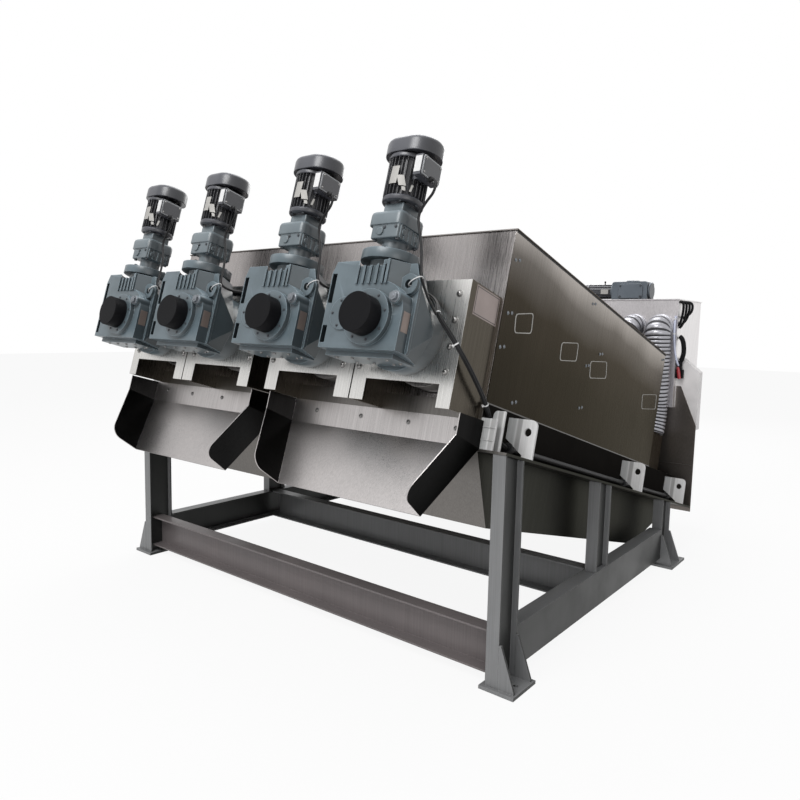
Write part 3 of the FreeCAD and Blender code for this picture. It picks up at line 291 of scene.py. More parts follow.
class Shade:
    """A Principled material with helpers for its node tree."""

    def __init__(self, name, metallic, rough, **values):
        self.material = bpy.data.materials.new(name)
        self.material.use_nodes = True
        self.tree = self.material.node_tree
        self.bsdf = put(self.tree.nodes["Principled BSDF"], Metallic=metallic, Roughness=rough, **values)
        self.place = self.node("TexCoord").outputs["Object"]
        self.normal = self.node("NewGeometry").outputs["Normal"]

    def node(self, kind, **settings):
        made = self.tree.nodes.new("ShaderNode" + kind)
        for key, value in settings.items():
            setattr(made, key, value)
        return made

    def link(self, a, b):
        self.tree.links.new(a, b)

    def math(self, operation, a, b=0.0):
        made = self.node("Math", operation=operation)
        for socket, value in zip(made.inputs, (a, b)):
            if isinstance(value, (int, float)):
                socket.default_value = value
            else:
                self.link(value, socket)
        return made.outputs[0]

    def noise(self, scale, detail=3.0, stretch=(1, 1, 1), turned=True, rough=0.5):
        """Fac of a noise over the object's place, in the body's level frame if turned."""
        mapping = self.node("Mapping")
        if turned:
            put(mapping, Rotation=(SLOPE, 0, 0))
        scaler = self.node("VectorMath", operation="MULTIPLY")
        scaler.inputs[1].default_value = stretch
        self.link(self.place, mapping.inputs["Vector"])
        self.link(mapping.outputs[0], scaler.inputs[0])
        made = put(self.node("TexNoise"), Scale=scale, Detail=detail, Roughness=rough)
        self.link(scaler.outputs[0], made.inputs["Vector"])
        return made.outputs["Fac"]

    def span(self, value, low, high, to_low=0.0, to_high=1.0, smooth=True):
        """Value from low to high, taken to the range from to_low to to_high."""
        made = self.node("MapRange", interpolation_type="SMOOTHSTEP" if smooth else "LINEAR")
        put(made, From_Min=low, From_Max=high, To_Min=to_low, To_Max=to_high)
        self.link(value, made.inputs["Value"])
        return made.outputs[0]

    def ramp(self, value, stops):
        made = self.node("ValToRGB")
        self.link(value, made.inputs[0])
        elements = made.color_ramp.elements
        while len(elements) < len(stops):
            elements.new(0.5)
        for element, (at, colour) in zip(elements, stops):
            element.position = at
            element.color = (*colour, 1.0)
        return made.outputs[0]

    def mix(self, share, a, b, blend="MIX"):
        made = self.node("Mix", data_type="RGBA", blend_type=blend)
        for socket, value in ((made.inputs[0], share), (made.inputs[6], a), (made.inputs[7], b)):
            if isinstance(value, tuple):
                socket.default_value = (*value, 1.0)
            else:
                self.link(value, socket)
        return made.outputs[2]

    def colour(self, value):
        self.link(value, self.bsdf.inputs["Base Color"])

    def rough(self, value):
        self.link(value, self.bsdf.inputs["Roughness"])

    def bevelled(self, radius):
        """Normal with the edges rounded."""
        return put(self.node("Bevel", samples=4), Radius=radius).outputs[0]

    def surface(self, height, strength, distance, radius=0.0):
        """Bump of that height; with a radius the edges are softened too."""
        bump = put(self.node("Bump"), Strength=strength, Distance=distance)
        self.link(height, bump.inputs["Height"])
        if radius:
            self.link(self.bevelled(radius), bump.inputs["Normal"])
        self.link(bump.outputs[0], self.bsdf.inputs["Normal"])

    def edges(self, radius, low, high):
        """1 on edges, from the bevelled normal against the true one."""
        dot = self.node("VectorMath", operation="DOT_PRODUCT")
        self.link(self.bevelled(radius), dot.inputs[0])
        self.link(self.normal, dot.inputs[1])
        return self.span(self.math("SUBTRACT", 1.0, dot.outputs["Value"]), low, high)

    def painted_crevice_shade(self, reach):
        """Mask of painted shade: near 1 in corners and under ledges."""
        shadow = put(self.node("AmbientOcclusion", samples=6), Distance=reach)
        return self.span(shadow.outputs["AO"], 0.25, 0.85, 0.9, 0.0)

    def facing(self):
        """Parts of the surface normal: towards -Y, along X, up."""
        split = self.node("SeparateXYZ")
        self.link(self.normal, split.inputs[0])
        front = self.math("MAXIMUM", self.math("MULTIPLY", split.outputs["Y"], -1.0), 0.0)
        side = self.math("ABSOLUTE", split.outputs["X"])
        up = self.math("MAXIMUM", split.outputs["Z"], 0.0)
        return front, side, up

    def level(self):
        """x, y and z of the body's level frame, in metres."""
        shift = self.node("VectorMath", operation="SUBTRACT")
        shift.inputs[1].default_value = (0, FRONT / 1000.0, RAIL / 1000.0)
        turn = put(self.node("VectorRotate", rotation_type="X_AXIS"), Angle=SLOPE)
        split = self.node("SeparateXYZ")
        self.link(self.place, shift.inputs[0])
        self.link(shift.outputs[0], turn.inputs["Vector"])
        self.link(turn.outputs[0], split.inputs[0])
        return split.outputs


def brushed(shade, base, along="z", grain=0.06, blotch=0.1):
    """Brushed sheet: fine lines along one axis, soft blotches, a gloss made uneven by wear."""
    stretch = {"z": (210, 210, 3), "y": (210, 3, 210)}[along]
    lines = shade.noise(1.0, 4.0, stretch, True, 0.6)
    fine = shade.noise(2.6, 2.0, stretch, True, 0.6)
    cloud = shade.noise(1.7, 4.0)
    tone = shade.mix(shade.span(lines, 0.3, 0.7, 0.0, grain * 4, False), base, (0.0, 0.0, 0.0), "MULTIPLY")
    light = shade.mix(shade.span(cloud, 0.35, 0.7, 0.0, blotch * 4), tone, (0.72, 0.7, 0.69), "SOFT_LIGHT")
    shade.colour(light)
    rough = shade.bsdf.inputs["Roughness"].default_value
    shade.rough(shade.math("ADD", shade.span(fine, 0.3, 0.7, rough - 0.07, rough + 0.07, False),
                           shade.span(cloud, 0.3, 0.7, -0.04, 0.04)))
    shade.surface(lines, 0.02, 0.0004, 0.0015)


def steel_with_painted_facing_light(look, front, side, up, under, rough, along="z", blotch=0.1):
    """Brushed stainless whose tone follows the way a face looks: painted light, shade and reflection by
    facing.
    """
    tint = (*(min(1.0, 0.35 + part * 2.5) for part in side), 1.0)
    shade = Shade("steel_" + look, 1.0, rough, Specular_Tint=tint)
    to_front, to_side, to_up = shade.facing()
    base = shade.mix(shade.span(to_up, 0.2, 0.9), under, up)
    base = shade.mix(shade.span(to_front, 0.15, 0.75), base, front)
    base = shade.mix(shade.span(to_side, 0.35, 0.8), base, side)
    brushed(shade, base, along, blotch=blotch)
    return shade.material


def cover_side_steel():
    """Side sheet of the cover, with painted reflection: lightest at the top of the high end, darkest low down.
    """
    shade = Shade("steel_cover_side", 1.0, 0.27, Specular_Tint=(0.64, 0.62, 0.58, 1.0))
    _, y, z = shade.level()[:3]
    height = shade.math("ADD", z, shade.math("MULTIPLY", y, 0.02))
    wobble = shade.math("MULTIPLY", shade.math("SUBTRACT", shade.noise(1.1, 2.0), 0.5), 0.35)
    place = shade.span(shade.math("ADD", height, wobble), 0.15, 1.05, 0.0, 1.0, False)
    base = shade.ramp(place, (
        (0.0, (0.022, 0.019, 0.015)), (0.35, (0.03, 0.026, 0.02)), (0.6, (0.046, 0.039, 0.031)),
        (0.8, (0.15, 0.138, 0.128)), (1.0, (0.58, 0.545, 0.52)),
    ))
    brushed(shade, base, grain=0.05)
    return shade.material


def cast_paint(name, base, dark, rough=0.38, radius=0.004, bump=0.12):
    """Sprayed casting: grain, painted shade on its sides and in corners, painted light on its tops, and
    lighter edges, partly wear and partly painted highlight.
    """
    shade = Shade(name, 0.0, rough, Coat_Weight=0.25, Coat_Roughness=0.28)
    grain = shade.noise(420, 3.0, turned=False)
    cloud = shade.noise(6.0, 4.0, turned=False)
    tone = shade.mix(shade.span(cloud, 0.3, 0.7), dark, base)
    _, to_side, to_up = shade.facing()
    # Painted shade on faces that look to a side and in corners, painted light on faces that look up
    tone = shade.mix(shade.span(to_side, 0.25, 0.9, 0.0, 0.78), tone, scaled(dark, 0.25))
    tone = shade.mix(shade.span(to_up, 0.2, 0.9, 0.0, 0.45), tone, scaled(base, 2.2))
    tone = shade.mix(shade.painted_crevice_shade(0.05), tone, scaled(dark, 0.18))
    # Lighter edges, partly wear and partly painted highlight
    edge_wear_and_highlight = shade.math("MULTIPLY", shade.edges(0.0035, 0.02, 0.3), 0.85)
    shade.colour(shade.mix(edge_wear_and_highlight, tone, scaled(base, 3.4)))
    shade.rough(shade.span(grain, 0.3, 0.7, rough - 0.06, rough + 0.08, False))
    shade.surface(grain, bump, 0.0006, radius)
    return shade.material


def motor_paint():
    """Black barrel and fins with greyer edges, partly wear and partly painted highlight."""
    shade = Shade("motor_paint", 0.0, 0.34, Coat_Weight=0.25, Coat_Roughness=0.25)
    grain = shade.noise(420, 3.0, turned=False)
    cloud = shade.noise(7.0, 4.0, turned=False)
    base = shade.mix(shade.span(cloud, 0.3, 0.7), (0.018, 0.018, 0.021), (0.032, 0.032, 0.036))
    # Lighter edges, partly wear and partly painted highlight
    edge_wear_and_highlight = shade.math("MULTIPLY", shade.edges(0.0018, 0.03, 0.35), 0.3)
    shade.colour(shade.mix(edge_wear_and_highlight, base, (0.3, 0.3, 0.33)))
    shade.rough(shade.span(grain, 0.3, 0.7, 0.3, 0.42, False))
    shade.surface(grain, 0.06, 0.0005, 0.0025)
    return shade.material


def lug_steel():
    """Bright brushed plate with a darker fold between its root and its ear; the darker fold is painted shade.
    """
    shade = Shade("steel_lug", 0.3, 0.42)
    side = shade.math("ABSOLUTE", shade.level()[0])
    to_front = shade.facing()[0]
    # Painted shade: a darker band over the fold, on faces that look ahead
    fold = shade.math("MULTIPLY", shade.span(side, 1.296, 1.306), shade.span(side, 1.322, 1.33, 1.0, 0.0))
    root = shade.span(side, 1.29, 1.3, 1.0, 0.0)
    base = shade.mix(root, (0.86, 0.86, 0.86), (0.56, 0.57, 0.57))
    base = shade.mix(fold, base, (0.46, 0.46, 0.46))
    base = shade.mix(shade.span(to_front, 0.2, 0.7), (0.54, 0.54, 0.54), base)
    brushed(shade, base, grain=0.05, blotch=0.12)
    return shade.material


def frame_paint(name, base, side):
    """Brushed paint on rolled sections, with fine rolling lines, painted shade on faces that look to a side,
    and lighter edges, partly wear and partly painted highlight.
    """
    rough = 0.42
    shade = Shade(name, 0.15, rough, Specular_IOR_Level=0.3)
    # Painted shade: faces that look to a side take the darker side tone
    tone = shade.mix(shade.span(shade.facing()[1], 0.3, 0.8), base, side)
    lines = shade.noise(1.0, 3.0, (160, 160, 2.5), False, 0.6)
    cloud = shade.noise(3.0, 4.0, turned=False)
    tone = shade.mix(shade.span(lines, 0.3, 0.7, 0.0, 0.35, False), tone, (0.5, 0.5, 0.5), "MULTIPLY")
    tone = shade.mix(shade.span(cloud, 0.4, 0.75, 0.0, 0.25), tone, (0.75, 0.73, 0.72), "SOFT_LIGHT")
    # Lighter edges, partly wear and partly painted highlight
    edge_wear_and_highlight = shade.math("MULTIPLY", shade.edges(0.002, 0.03, 0.3), 0.3)
    shade.colour(shade.mix(edge_wear_and_highlight, tone, (0.36, 0.35, 0.34)))
    shade.rough(shade.span(cloud, 0.3, 0.7, rough - 0.08, rough + 0.08))
    shade.surface(lines, 0.05, 0.0004, 0.0025)
    return shade.material


def plain(name, base, metallic, rough, grain=0.05, scale=300, radius=0.0, **values):
    """Small part of one colour, with fine grain."""
    shade = Shade(name, metallic, rough, **values)
    small = shade.noise(scale, 3.0, turned=False)
    cloud = shade.noise(9.0, 3.0, turned=False)
    shade.colour(shade.mix(shade.span(cloud, 0.3, 0.7, 0.0, 0.5), base, scaled(base, 0.75)))
    shade.rough(shade.span(small, 0.3, 0.7, max(0.03, rough - 0.05), rough + 0.07, False))
    shade.surface(small, grain, 0.0004, radius)
    return shade.material


# Brushed sheets: look, painted-light tone of faces that look ahead, to a side, up and down, roughness, then
# the rest
STEELS = (
    ("cover_front", (0.44, 0.415, 0.41), (0.12, 0.105, 0.09), (0.12, 0.115, 0.11), (0.08, 0.07, 0.06), 0.27),
    ("cover_top", (0.3, 0.28, 0.27), (0.1, 0.09, 0.08), (0.15, 0.145, 0.14), (0.08, 0.07, 0.06), 0.36, "y"),
    ("bracket", (0.76, 0.75, 0.73), (0.1, 0.09, 0.075), (0.36, 0.34, 0.33), (0.36, 0.34, 0.32), 0.3),
    ("chute", (0.56, 0.535, 0.53), (0.02, 0.02, 0.02), (0.4, 0.38, 0.38), (0.05, 0.05, 0.05), 0.34, "z", 0.14),
    ("trough", (0.2, 0.19, 0.18), (0.05, 0.05, 0.045), (0.22, 0.21, 0.2), (0.1, 0.095, 0.09), 0.36),
    ("bulkhead", (0.22, 0.2, 0.185), (0.1, 0.09, 0.08), (0.2, 0.19, 0.18), (0.05, 0.045, 0.04), 0.35),
    ("tank", (0.66, 0.64, 0.66), (0.9, 0.88, 0.88), (0.26, 0.255, 0.255), (0.3, 0.3, 0.3), 0.46),
    ("drum", (0.55, 0.53, 0.52), (0.45, 0.44, 0.43), (0.3, 0.29, 0.28), (0.3, 0.3, 0.3), 0.35),
)


def make_materials():
    made = {steel[0]: steel_with_painted_facing_light(*steel) for steel in STEELS}
    made.update({
        "cover_side": cover_side_steel(),
        "lug": lug_steel(),
        "gear": cast_paint("cast_gear_paint", (0.108, 0.142, 0.163), (0.07, 0.096, 0.11)),
        "helical": cast_paint("cast_helical_paint", (0.128, 0.156, 0.172), (0.095, 0.12, 0.135)),
        "motor": motor_paint(),
        "cowl": cast_paint("cowl_paint", (0.06, 0.062, 0.07), (0.046, 0.048, 0.054), 0.36, 0.003, 0.05),
        "shield": cast_paint("end_shield_paint", (0.058, 0.06, 0.072), (0.044, 0.046, 0.055),
                             0.36, 0.002, 0.05),
        "mixer": cast_paint("mixer_paint", (0.11, 0.13, 0.155), (0.08, 0.1, 0.12)),
        "frame": frame_paint("frame_paint_dark", (0.225, 0.228, 0.232), (0.024, 0.025, 0.024)),
        "front_beam": frame_paint("frame_paint_mauve", (0.185, 0.165, 0.165), (0.1, 0.1, 0.1)),
        "black": plain("black_moulding", (0.006, 0.006, 0.007), 0.0, 0.5, 0.06, 260, 0.003,
                       Specular_IOR_Level=0.08),
        # This material also serves as painted shadow in the dark strip under the lid
        "rubber": plain("black_rubber", (0.014, 0.014, 0.015), 0.0, 0.55, 0.1, 500),
        "sheath": plain("cable_sheath", (0.01, 0.01, 0.011), 0.0, 0.45, 0.05, 500, Specular_IOR_Level=0.25),
        "bright": plain("bright_fastener", (0.3, 0.295, 0.29), 1.0, 0.3, 0.05, 700, 0.0008),
        "dark_bolt": plain("dark_fastener", (0.06, 0.066, 0.075), 0.3, 0.4, 0.05, 700, 0.0008),
        "socket": plain("socket_shadow", (0.02, 0.02, 0.02), 0.3, 0.5),
        "white_tie": plain("white_tie", (0.72, 0.72, 0.72), 0.0, 0.42, 0.03),
        "label": plain("blank_plate", (0.42, 0.41, 0.39), 0.1, 0.5, 0.03, 400, Specular_IOR_Level=0.2),
        "brown_plate": plain("blank_tin_plate", (0.23, 0.185, 0.165), 0.5, 0.42, 0.03, 400),
        "tin": plain("tin_plate", (0.3, 0.25, 0.235), 0.6, 0.36, 0.03, 400),
        "lime": plain("lime_tag", (0.42, 0.62, 0.03), 0.0, 0.4, 0.02, 300),
        "terminal": plain("terminal_cover", (0.2, 0.205, 0.215), 0.45, 0.22, 0.03, 200, 0.002,
                          Coat_Weight=0.8, Coat_Roughness=0.1),
        "gloss_dark": plain("gloss_dark_panel", (0.035, 0.036, 0.042), 0.3, 0.12, 0.02, 120,
                            Coat_Weight=0.8, Coat_Roughness=0.06),
        "hose": plain("hose_steel", (0.4, 0.4, 0.43), 0.55, 0.3, 0.04, 200, Coat_Weight=0.2),
        # Painted shade for the valleys between the feed hoses' ribs
        "groove": plain("hose_groove_shade", (0.045, 0.045, 0.05), 0.2, 0.5, 0.04, 200),
        "clear_hose": plain("clear_tube", (0.55, 0.58, 0.72), 0.1, 0.18, 0.02, 200, Coat_Weight=0.6),
        "plug": plain("plug_face", (0.2, 0.215, 0.235), 0.6, 0.32, 0.05, 300, 0.002),
        "pale_box": plain("pale_side_box", (0.74, 0.72, 0.72), 0.0, 0.42, 0.02, 60, Specular_IOR_Level=0.3),
        "cap_edge": plain("cap_rim_wear", (0.09, 0.085, 0.08), 0.0, 0.35, 0.05, 300),
        "hem_edge": plain("hem_edge", (0.13, 0.125, 0.12), 1.0, 0.35, 0.03, 500),
        "bright_sheet": plain("cut_sheet_edge", (0.52, 0.5, 0.49), 1.0, 0.28, 0.03, 500),
        "curb": plain("curb_strip", (0.012, 0.011, 0.01), 0.0, 0.6, 0.05, 120, Specular_IOR_Level=0.0),
        "red": plain("red_handle", (0.32, 0.012, 0.02), 0.0, 0.34, 0.03, 300, Coat_Weight=0.4),
    })
    return made


MAT = {}
# Look of each CAD node, by the start of its name; the first that fits counts, and the rest have the frame's
NODE_LOOKS = (
    ("cover_front", "cover_front"), ("cover_top", "cover_top"), ("cover_rear", "cover_front"),
    ("cover_", "cover_side"), ("drive_bracket", "bracket"), ("discharge", "chute"), ("filtrate", "trough"),
    ("rail_", "trough"), ("lifting", "lug"), ("motor_cables", "sheath"), ("cable_conduit", "sheath"),
    ("rear_bulkhead", "bulkhead"), ("tank_", "tank"), ("side_boxes", "pale_box"), ("sludge", "tank"),
    ("screw_drums", "drum"), ("inlet_chambers", "bracket"), ("gear_unit", "gear"), ("helical", "helical"),
    ("drive_motor", "motor"), ("mixer_gear", "mixer"), ("mixer_motors", "cowl"), ("shaft_caps", "black"),
    ("feed_hoses", "hose"), ("front_beam", "front_beam"),
)
# Rounding of the edges of cast, moulded and rolled nodes, in millimetres
EDGE_WIDTHS = (("gear_unit", 3.0), ("mixer_gear", 6.0), ("shaft_caps", 6.0), ("leg_", 2.0))


def bevel_edges(target, width, limit):
    """Rounded edges where two faces meet at more than limit degrees."""
    edge = target.modifiers.new("edges", "BEVEL")
    edge.width = width / 1000.0
    edge.segments = 2
    edge.limit_method = "ANGLE"
    edge.angle_limit = math.radians(limit)
    return edge


def dress_nodes():
    """Materials of the CAD nodes, and rounded edges on the cast and moulded ones."""
    for name, node in NODES.items():
        look = next((key for prefix, key in NODE_LOOKS if name.startswith(prefix)), "frame")
        node.data.materials.clear()
        node.data.materials.append(MAT[look])
        width = next((size for prefix, size in EDGE_WIDTHS if name.startswith(prefix)), 0.0)
        if width:
            node.modifiers.new("weld", "WELD").merge_threshold = 0.00002
            bevel_edges(node, width, 38).use_clamp_overlap = True


# Mesh helpers

def piece(name, mesh_data, look, matrix, bevel=0.0, smooth=True):
    """Object from a bmesh drawn in millimetres; its place goes into its vertices."""
    mesh = bpy.data.meshes.new(name)
    bmesh.ops.recalc_face_normals(mesh_data, faces=mesh_data.faces[:])
    mesh_data.to_mesh(mesh)
    mesh_data.free()
    mesh.transform(matrix)
    made = bpy.data.objects.new(name, mesh)
    bpy.context.collection.objects.link(made)
    for key in (look if isinstance(look, tuple) else (look,)):
        mesh.materials.append(MAT[key])
    if smooth:
        mesh.shade_smooth()
        mesh.set_sharp_from_angle(angle=math.radians(32))
    if bevel:
        bevel_edges(made, bevel, 35)
    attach(made, "root")
    return made


def axis_matrix(origin, axis, turn=0.0):
    """Matrix whose Z runs along axis at origin."""
    z = Vector(axis).normalized()
    x = Vector((1, 0, 0)) if abs(z.x) < 0.9 else Vector((0, 1, 0))
    y = z.cross(x).normalized()
    x = y.cross(z)
    return Matrix.Translation(origin) @ Matrix((x, y, z)).transposed().to_4x4() @ Matrix.Rotation(turn, 4, "Z")


def skin(mesh, rings, materials=(0,), capped=True):
    """Quads from ring to ring, with the materials in turn; if capped, the ends have the lowest of them."""
    for run, (low, high) in enumerate(zip(rings, rings[1:])):
        for step in range(len(low)):
            after = (step + 1) % len(low)
            face = mesh.faces.new((low[step], low[after], high[after], high[step]))
            face.material_index = materials[run % len(materials)]
    if capped:
        for ring in (rings[0], rings[-1]):
            mesh.faces.new(ring).material_index = min(materials)


def circle(radius, steps):
    turns = [2 * math.pi * step / steps for step in range(steps)]
    return [(radius * math.cos(turn), radius * math.sin(turn)) for turn in turns]


def turned(mesh, profile, origin, axis, steps):
    """Rings of (radius, height) points turned about axis."""
    place = axis_matrix(origin, axis)
    return [[mesh.verts.new(place @ Vector((x, y, height))) for x, y in circle(radius, steps)]
            for radius, height in profile]


def lathe(mesh, profile, origin, axis, steps=32, materials=(0,)):
    skin(mesh, turned(mesh, profile, origin, axis, steps), materials)


def hoop(mesh, profile, origin, axis, steps):
    """Band whose profile is closed on itself, open in the middle."""
    rings = turned(mesh, profile, origin, axis, steps)
    skin(mesh, rings + rings[:1], capped=False)


def prism(mesh, outline, thickness, origin, axis, turn=0.0, materials=(0,)):
    """Flat outline thickened along axis."""
    place = axis_matrix(origin, axis, turn)
    skin(mesh, [[mesh.verts.new(place @ Vector((x, y, height))) for x, y in outline]
                for height in (0, thickness)], materials)


def stacked(mesh, outline, profile, origin):
    """Skin over an outline; each profile entry is a height and how far the outline draws in there."""
    centre = Vector(origin)
    rings = []
    for height, inset in profile:
        shares = [max(0.0, 1.0 - inset / math.hypot(x, y)) for x, y in outline]
        rings.append([mesh.verts.new(centre + Vector((x * share, y * share, height)))
                      for (x, y), share in zip(outline, shares)])
    skin(mesh, rings)


def tube(mesh, points, radius, steps=12, materials=(0,), capped=True):
    """Tube along points with a frame carried from run to run; radius is a number or one for each point."""
    ways = [(b - a).normalized() for a, b in zip(points, points[1:])]
    ways = [ways[0]] + [(a + b).normalized() for a, b in zip(ways, ways[1:])] + [ways[-1]]
    side = ways[0].orthogonal().normalized()
    rings = []
    for index, (point, way) in enumerate(zip(points, ways)):
        side = (side - way * side.dot(way)).normalized()
        other = way.cross(side)
        size = radius[index] if isinstance(radius, (list, tuple)) else radius
        rings.append([mesh.verts.new(point + side * x + other * y) for x, y in circle(size, steps)])
    skin(mesh, rings, materials, capped)


def box(mesh, x0, x1, y0, y1, z0, z1):
    corners = [mesh.verts.new((x, y, z)) for z in (z0, z1)
               for x, y in ((x0, y0), (x1, y0), (x1, y1), (x0, y1))]
    for face in ((0, 1, 2, 3), (4, 5, 6, 7), (0, 1, 5, 4), (1, 2, 6, 5), (2, 3, 7, 6), (3, 0, 4, 7)):
        mesh.faces.new([corners[i] for i in face])


def box_piece(name, look, matrix, slot, *boxes, bevel=0.0):
    mesh = bmesh.new()
    for sizes in boxes:
        box(mesh, *sizes)
    return piece(name, mesh, look, matrix, bevel)


def round_rect(half_x, half_y, radius, steps=5):
    points = []
    for sx, sy, start in ((1, 1, 0), (-1, 1, 90), (-1, -1, 180), (1, -1, 270)):
        for step in range(steps + 1):
            angle = math.radians(start + 90.0 * step / steps)
            points.append((sx * (half_x - radius) + radius * math.cos(angle),
                           sy * (half_y - radius) + radius * math.sin(angle)))
    return points


def stadium(half, radius, steps=20):
    """Outline with straight sides and round ends."""
    points = []
    for centre, start in ((half, -90), (-half, 90)):
        for step in range(steps + 1):
            turn = math.radians(start + 180.0 * step / steps)
            points.append((centre + radius * math.cos(turn), radius * math.sin(turn)))
    return points


def hexagon(size):
    return circle(size, 6)


def ring_places(centre, radius, turns, up):
    """Places round a centre, in the plane of X and up, at these angles in degrees."""
    centre, across, up = Vector(centre), Vector((radius, 0, 0)), Vector(up) * radius
    return [centre + across * math.cos(turn) + up * math.sin(turn) for turn in map(math.radians, turns)]


def button_screws(name, places, axis, radius, matrix, looks=("bright", "socket")):
    """Dome-head socket screws on washers; places are seats."""
    mesh = bmesh.new()
    washer = [(1.45, 0.0), (1.45, 0.16), (0.9, 0.2)]
    dome = [(1.0, 0.18), (1.0, 0.42), (0.93, 0.66), (0.76, 0.86), (0.5, 0.98)]
    for place in places:
        for profile in (washer, dome):
            lathe(mesh, [(r * radius, h * radius) for r, h in profile], place, axis, 24)
        top = Vector(place) + Vector(axis).normalized() * radius * 0.97
        prism(mesh, hexagon(radius * 0.38), radius * 0.05, top, axis, 0.3, (1,))
    return piece(name, mesh, looks, matrix)


def hex_bolts(name, places, axis, radius, matrix, look="dark_bolt"):
    """Hexagon heads on washers; places are seats."""
    mesh = bmesh.new()
    way = Vector(axis).normalized()
    for number, place in enumerate(places):
        lathe(mesh, [(radius * 1.25, 0.0), (radius * 1.25, radius * 0.18)], place, axis, 24)
        prism(mesh, hexagon(radius), radius * 0.62, Vector(place) + way * radius * 0.18, axis, 0.4 + number)
        top = Vector(place) + way * radius * 0.8
        lathe(mesh, [(radius * 0.84, 0.0), (radius * 0.7, radius * 0.1)], top, axis, 20)
    return piece(name, mesh, look, matrix, bevel=radius * 0.05)


# Sheets

def sheet_screws():
    """Screws on the brackets, the cover's sides, the rails and the chutes."""
    front = []
    for side, inner, outer, low_inset in BRACKETS:
        rows = [(inner + INNER_INSET, BRACKET_LOW_ROW), (outer - low_inset, BRACKET_LOW_ROW)]
        rows += [(x, z) for x in (inner + INNER_INSET, outer - OUTER_INSET) for z in BRACKET_ROWS]
        front += [(side * x, BRACKET_FACE, z) for x, z in rows]
    button_screws("bracket_screws", front, (0, -1, 0), 11.0, BODY)
    stations = [RAIL_FIRST + RAIL_PITCH * k for k in range(RAIL_SCREWS)]
    stations = [y for y in stations if all(abs(y - lug) > LUG_ROOM for lug in LUG_STATIONS)]
    for side, name in reversed(SIDES):
        face, out = side * COVER_SIDE, (side, 0, 0)
        pairs = [(face, y + dy, z + dz) for y, z in COVER_PAIRS for dy, dz in ((0, 0), PAIR_STEP)]
        button_screws("cover_screws_" + name, pairs, out, 6.0, BODY, ("plug", "socket"))
        rail = [(face, y, RAIL_ROW) for y in stations]
        button_screws("rail_screws_" + name, rail, out, 8.5, BODY)
    chute = [(side * x, CHUTE_FACE, CHUTE_ROW) for side in (-1, 1) for x in CHUTE_SCREWS]
    button_screws("chute_screws", chute, (0, -1, 0), 8.5, BODY)


def outline_frames():
    """Four thin plain outlines on each side sheet of the cover."""
    for side, name in SIDES:
        mesh = bmesh.new()
        for quad in OUTLINES:
            corners = [Vector(corner) for corner in quad]
            centre = sum(corners, Vector((0, 0))) / 4
            points = []
            for index, here in enumerate(corners):
                before, after = corners[index - 1], corners[(index + 1) % 4]
                start = here + (before - here).normalized() * OUTLINE_CORNER
                end = here + (after - here).normalized() * OUTLINE_CORNER
                for t in (0.0, 0.2, 0.4, 0.6, 0.8, 1.0):
                    points.append(start.lerp(here, t).lerp(here.lerp(end, t), t))
            inside = [p + (centre - p).normalized() * OUTLINE_WIDTH for p in points]
            lines = ((0.0, points), (OUTLINE_RISE, points), (OUTLINE_RISE, inside), (0.0, inside))
            skin(mesh, [[mesh.verts.new((side * (COVER_SIDE + rise), p.x, p.y)) for p in line]
                        for rise, line in lines], capped=False)
        piece("cover_outlines_" + name, mesh, "label", BODY)


def body_trim():
    """Painted shadow strip under the lid, painted highlight strip along the hem, and curb panel of each side,
    the right bracket's blank plate and the bulkhead's seam.
    """
    for side, name in SIDES:
        # The lid strip is a dark strip of painted shadow under the lid's overhang; the hem strip is a painted
        # highlight along the cover's bottom edge
        for trim, look, slot, rear, low, high in (
                ("lid_shadow_strip_", "rubber", "cover_" + name, COVER_REAR, 1001, COVER_TOP),
                ("cover_hem_", "hem_edge", "cover_" + name, COVER_REAR, COVER_HEM, 210),
                ("curb_panel_", "curb", "filtrate_trough", CURB_REAR, 8, 203)):
            faces = sorted((side * COVER_SIDE, side * (COVER_SIDE + TRIM)))
            box_piece(trim + name, look, BODY, slot, (*faces, COVER_FRONT, rear, low, high))
    plate = "drive_bracket_4"
    box_piece("bracket_plate", "tin", BODY, plate, (1232.0, 1233.4, -194, 5, 549, 681), bevel=0.5)
    lines = ((-188, -1, 672, 675), (-188, -1, 555, 558), (-188, -185, 555, 675), (-4, -1, 555, 675))
    box_piece("bracket_plate_line", "socket", BODY, plate, *((1233.3, 1233.9, *line) for line in lines))
    seam = (-1390, 1390, 2798.6, 2800.3, 602.5, 605.5)
    box_piece("bulkhead_seam", "bright_sheet", STAND, "rear_bulkhead", seam)


# Drive stacks

def curved_plate(mesh, axis, radius, low, high, turns, lean):
    """Thin plate round a motor: turns are its low corners in degrees from the front, lean slants it."""
    rings = []
    for share in range(7):
        ring = []
        for reach, z, shift in ((1.0, low, 0.0), (1.0, high, lean), (0.0, high, lean), (0.0, low, 0.0)):
            turn = math.radians(turns[0] + (turns[1] - turns[0]) * share / 6.0 + shift)
            across, ahead = (radius + reach) * math.sin(turn), (radius + reach) * math.cos(turn)
            ring.append(mesh.verts.new((axis + across, STACK - ahead, z)))
        rings.append(ring)
    skin(mesh, rings)


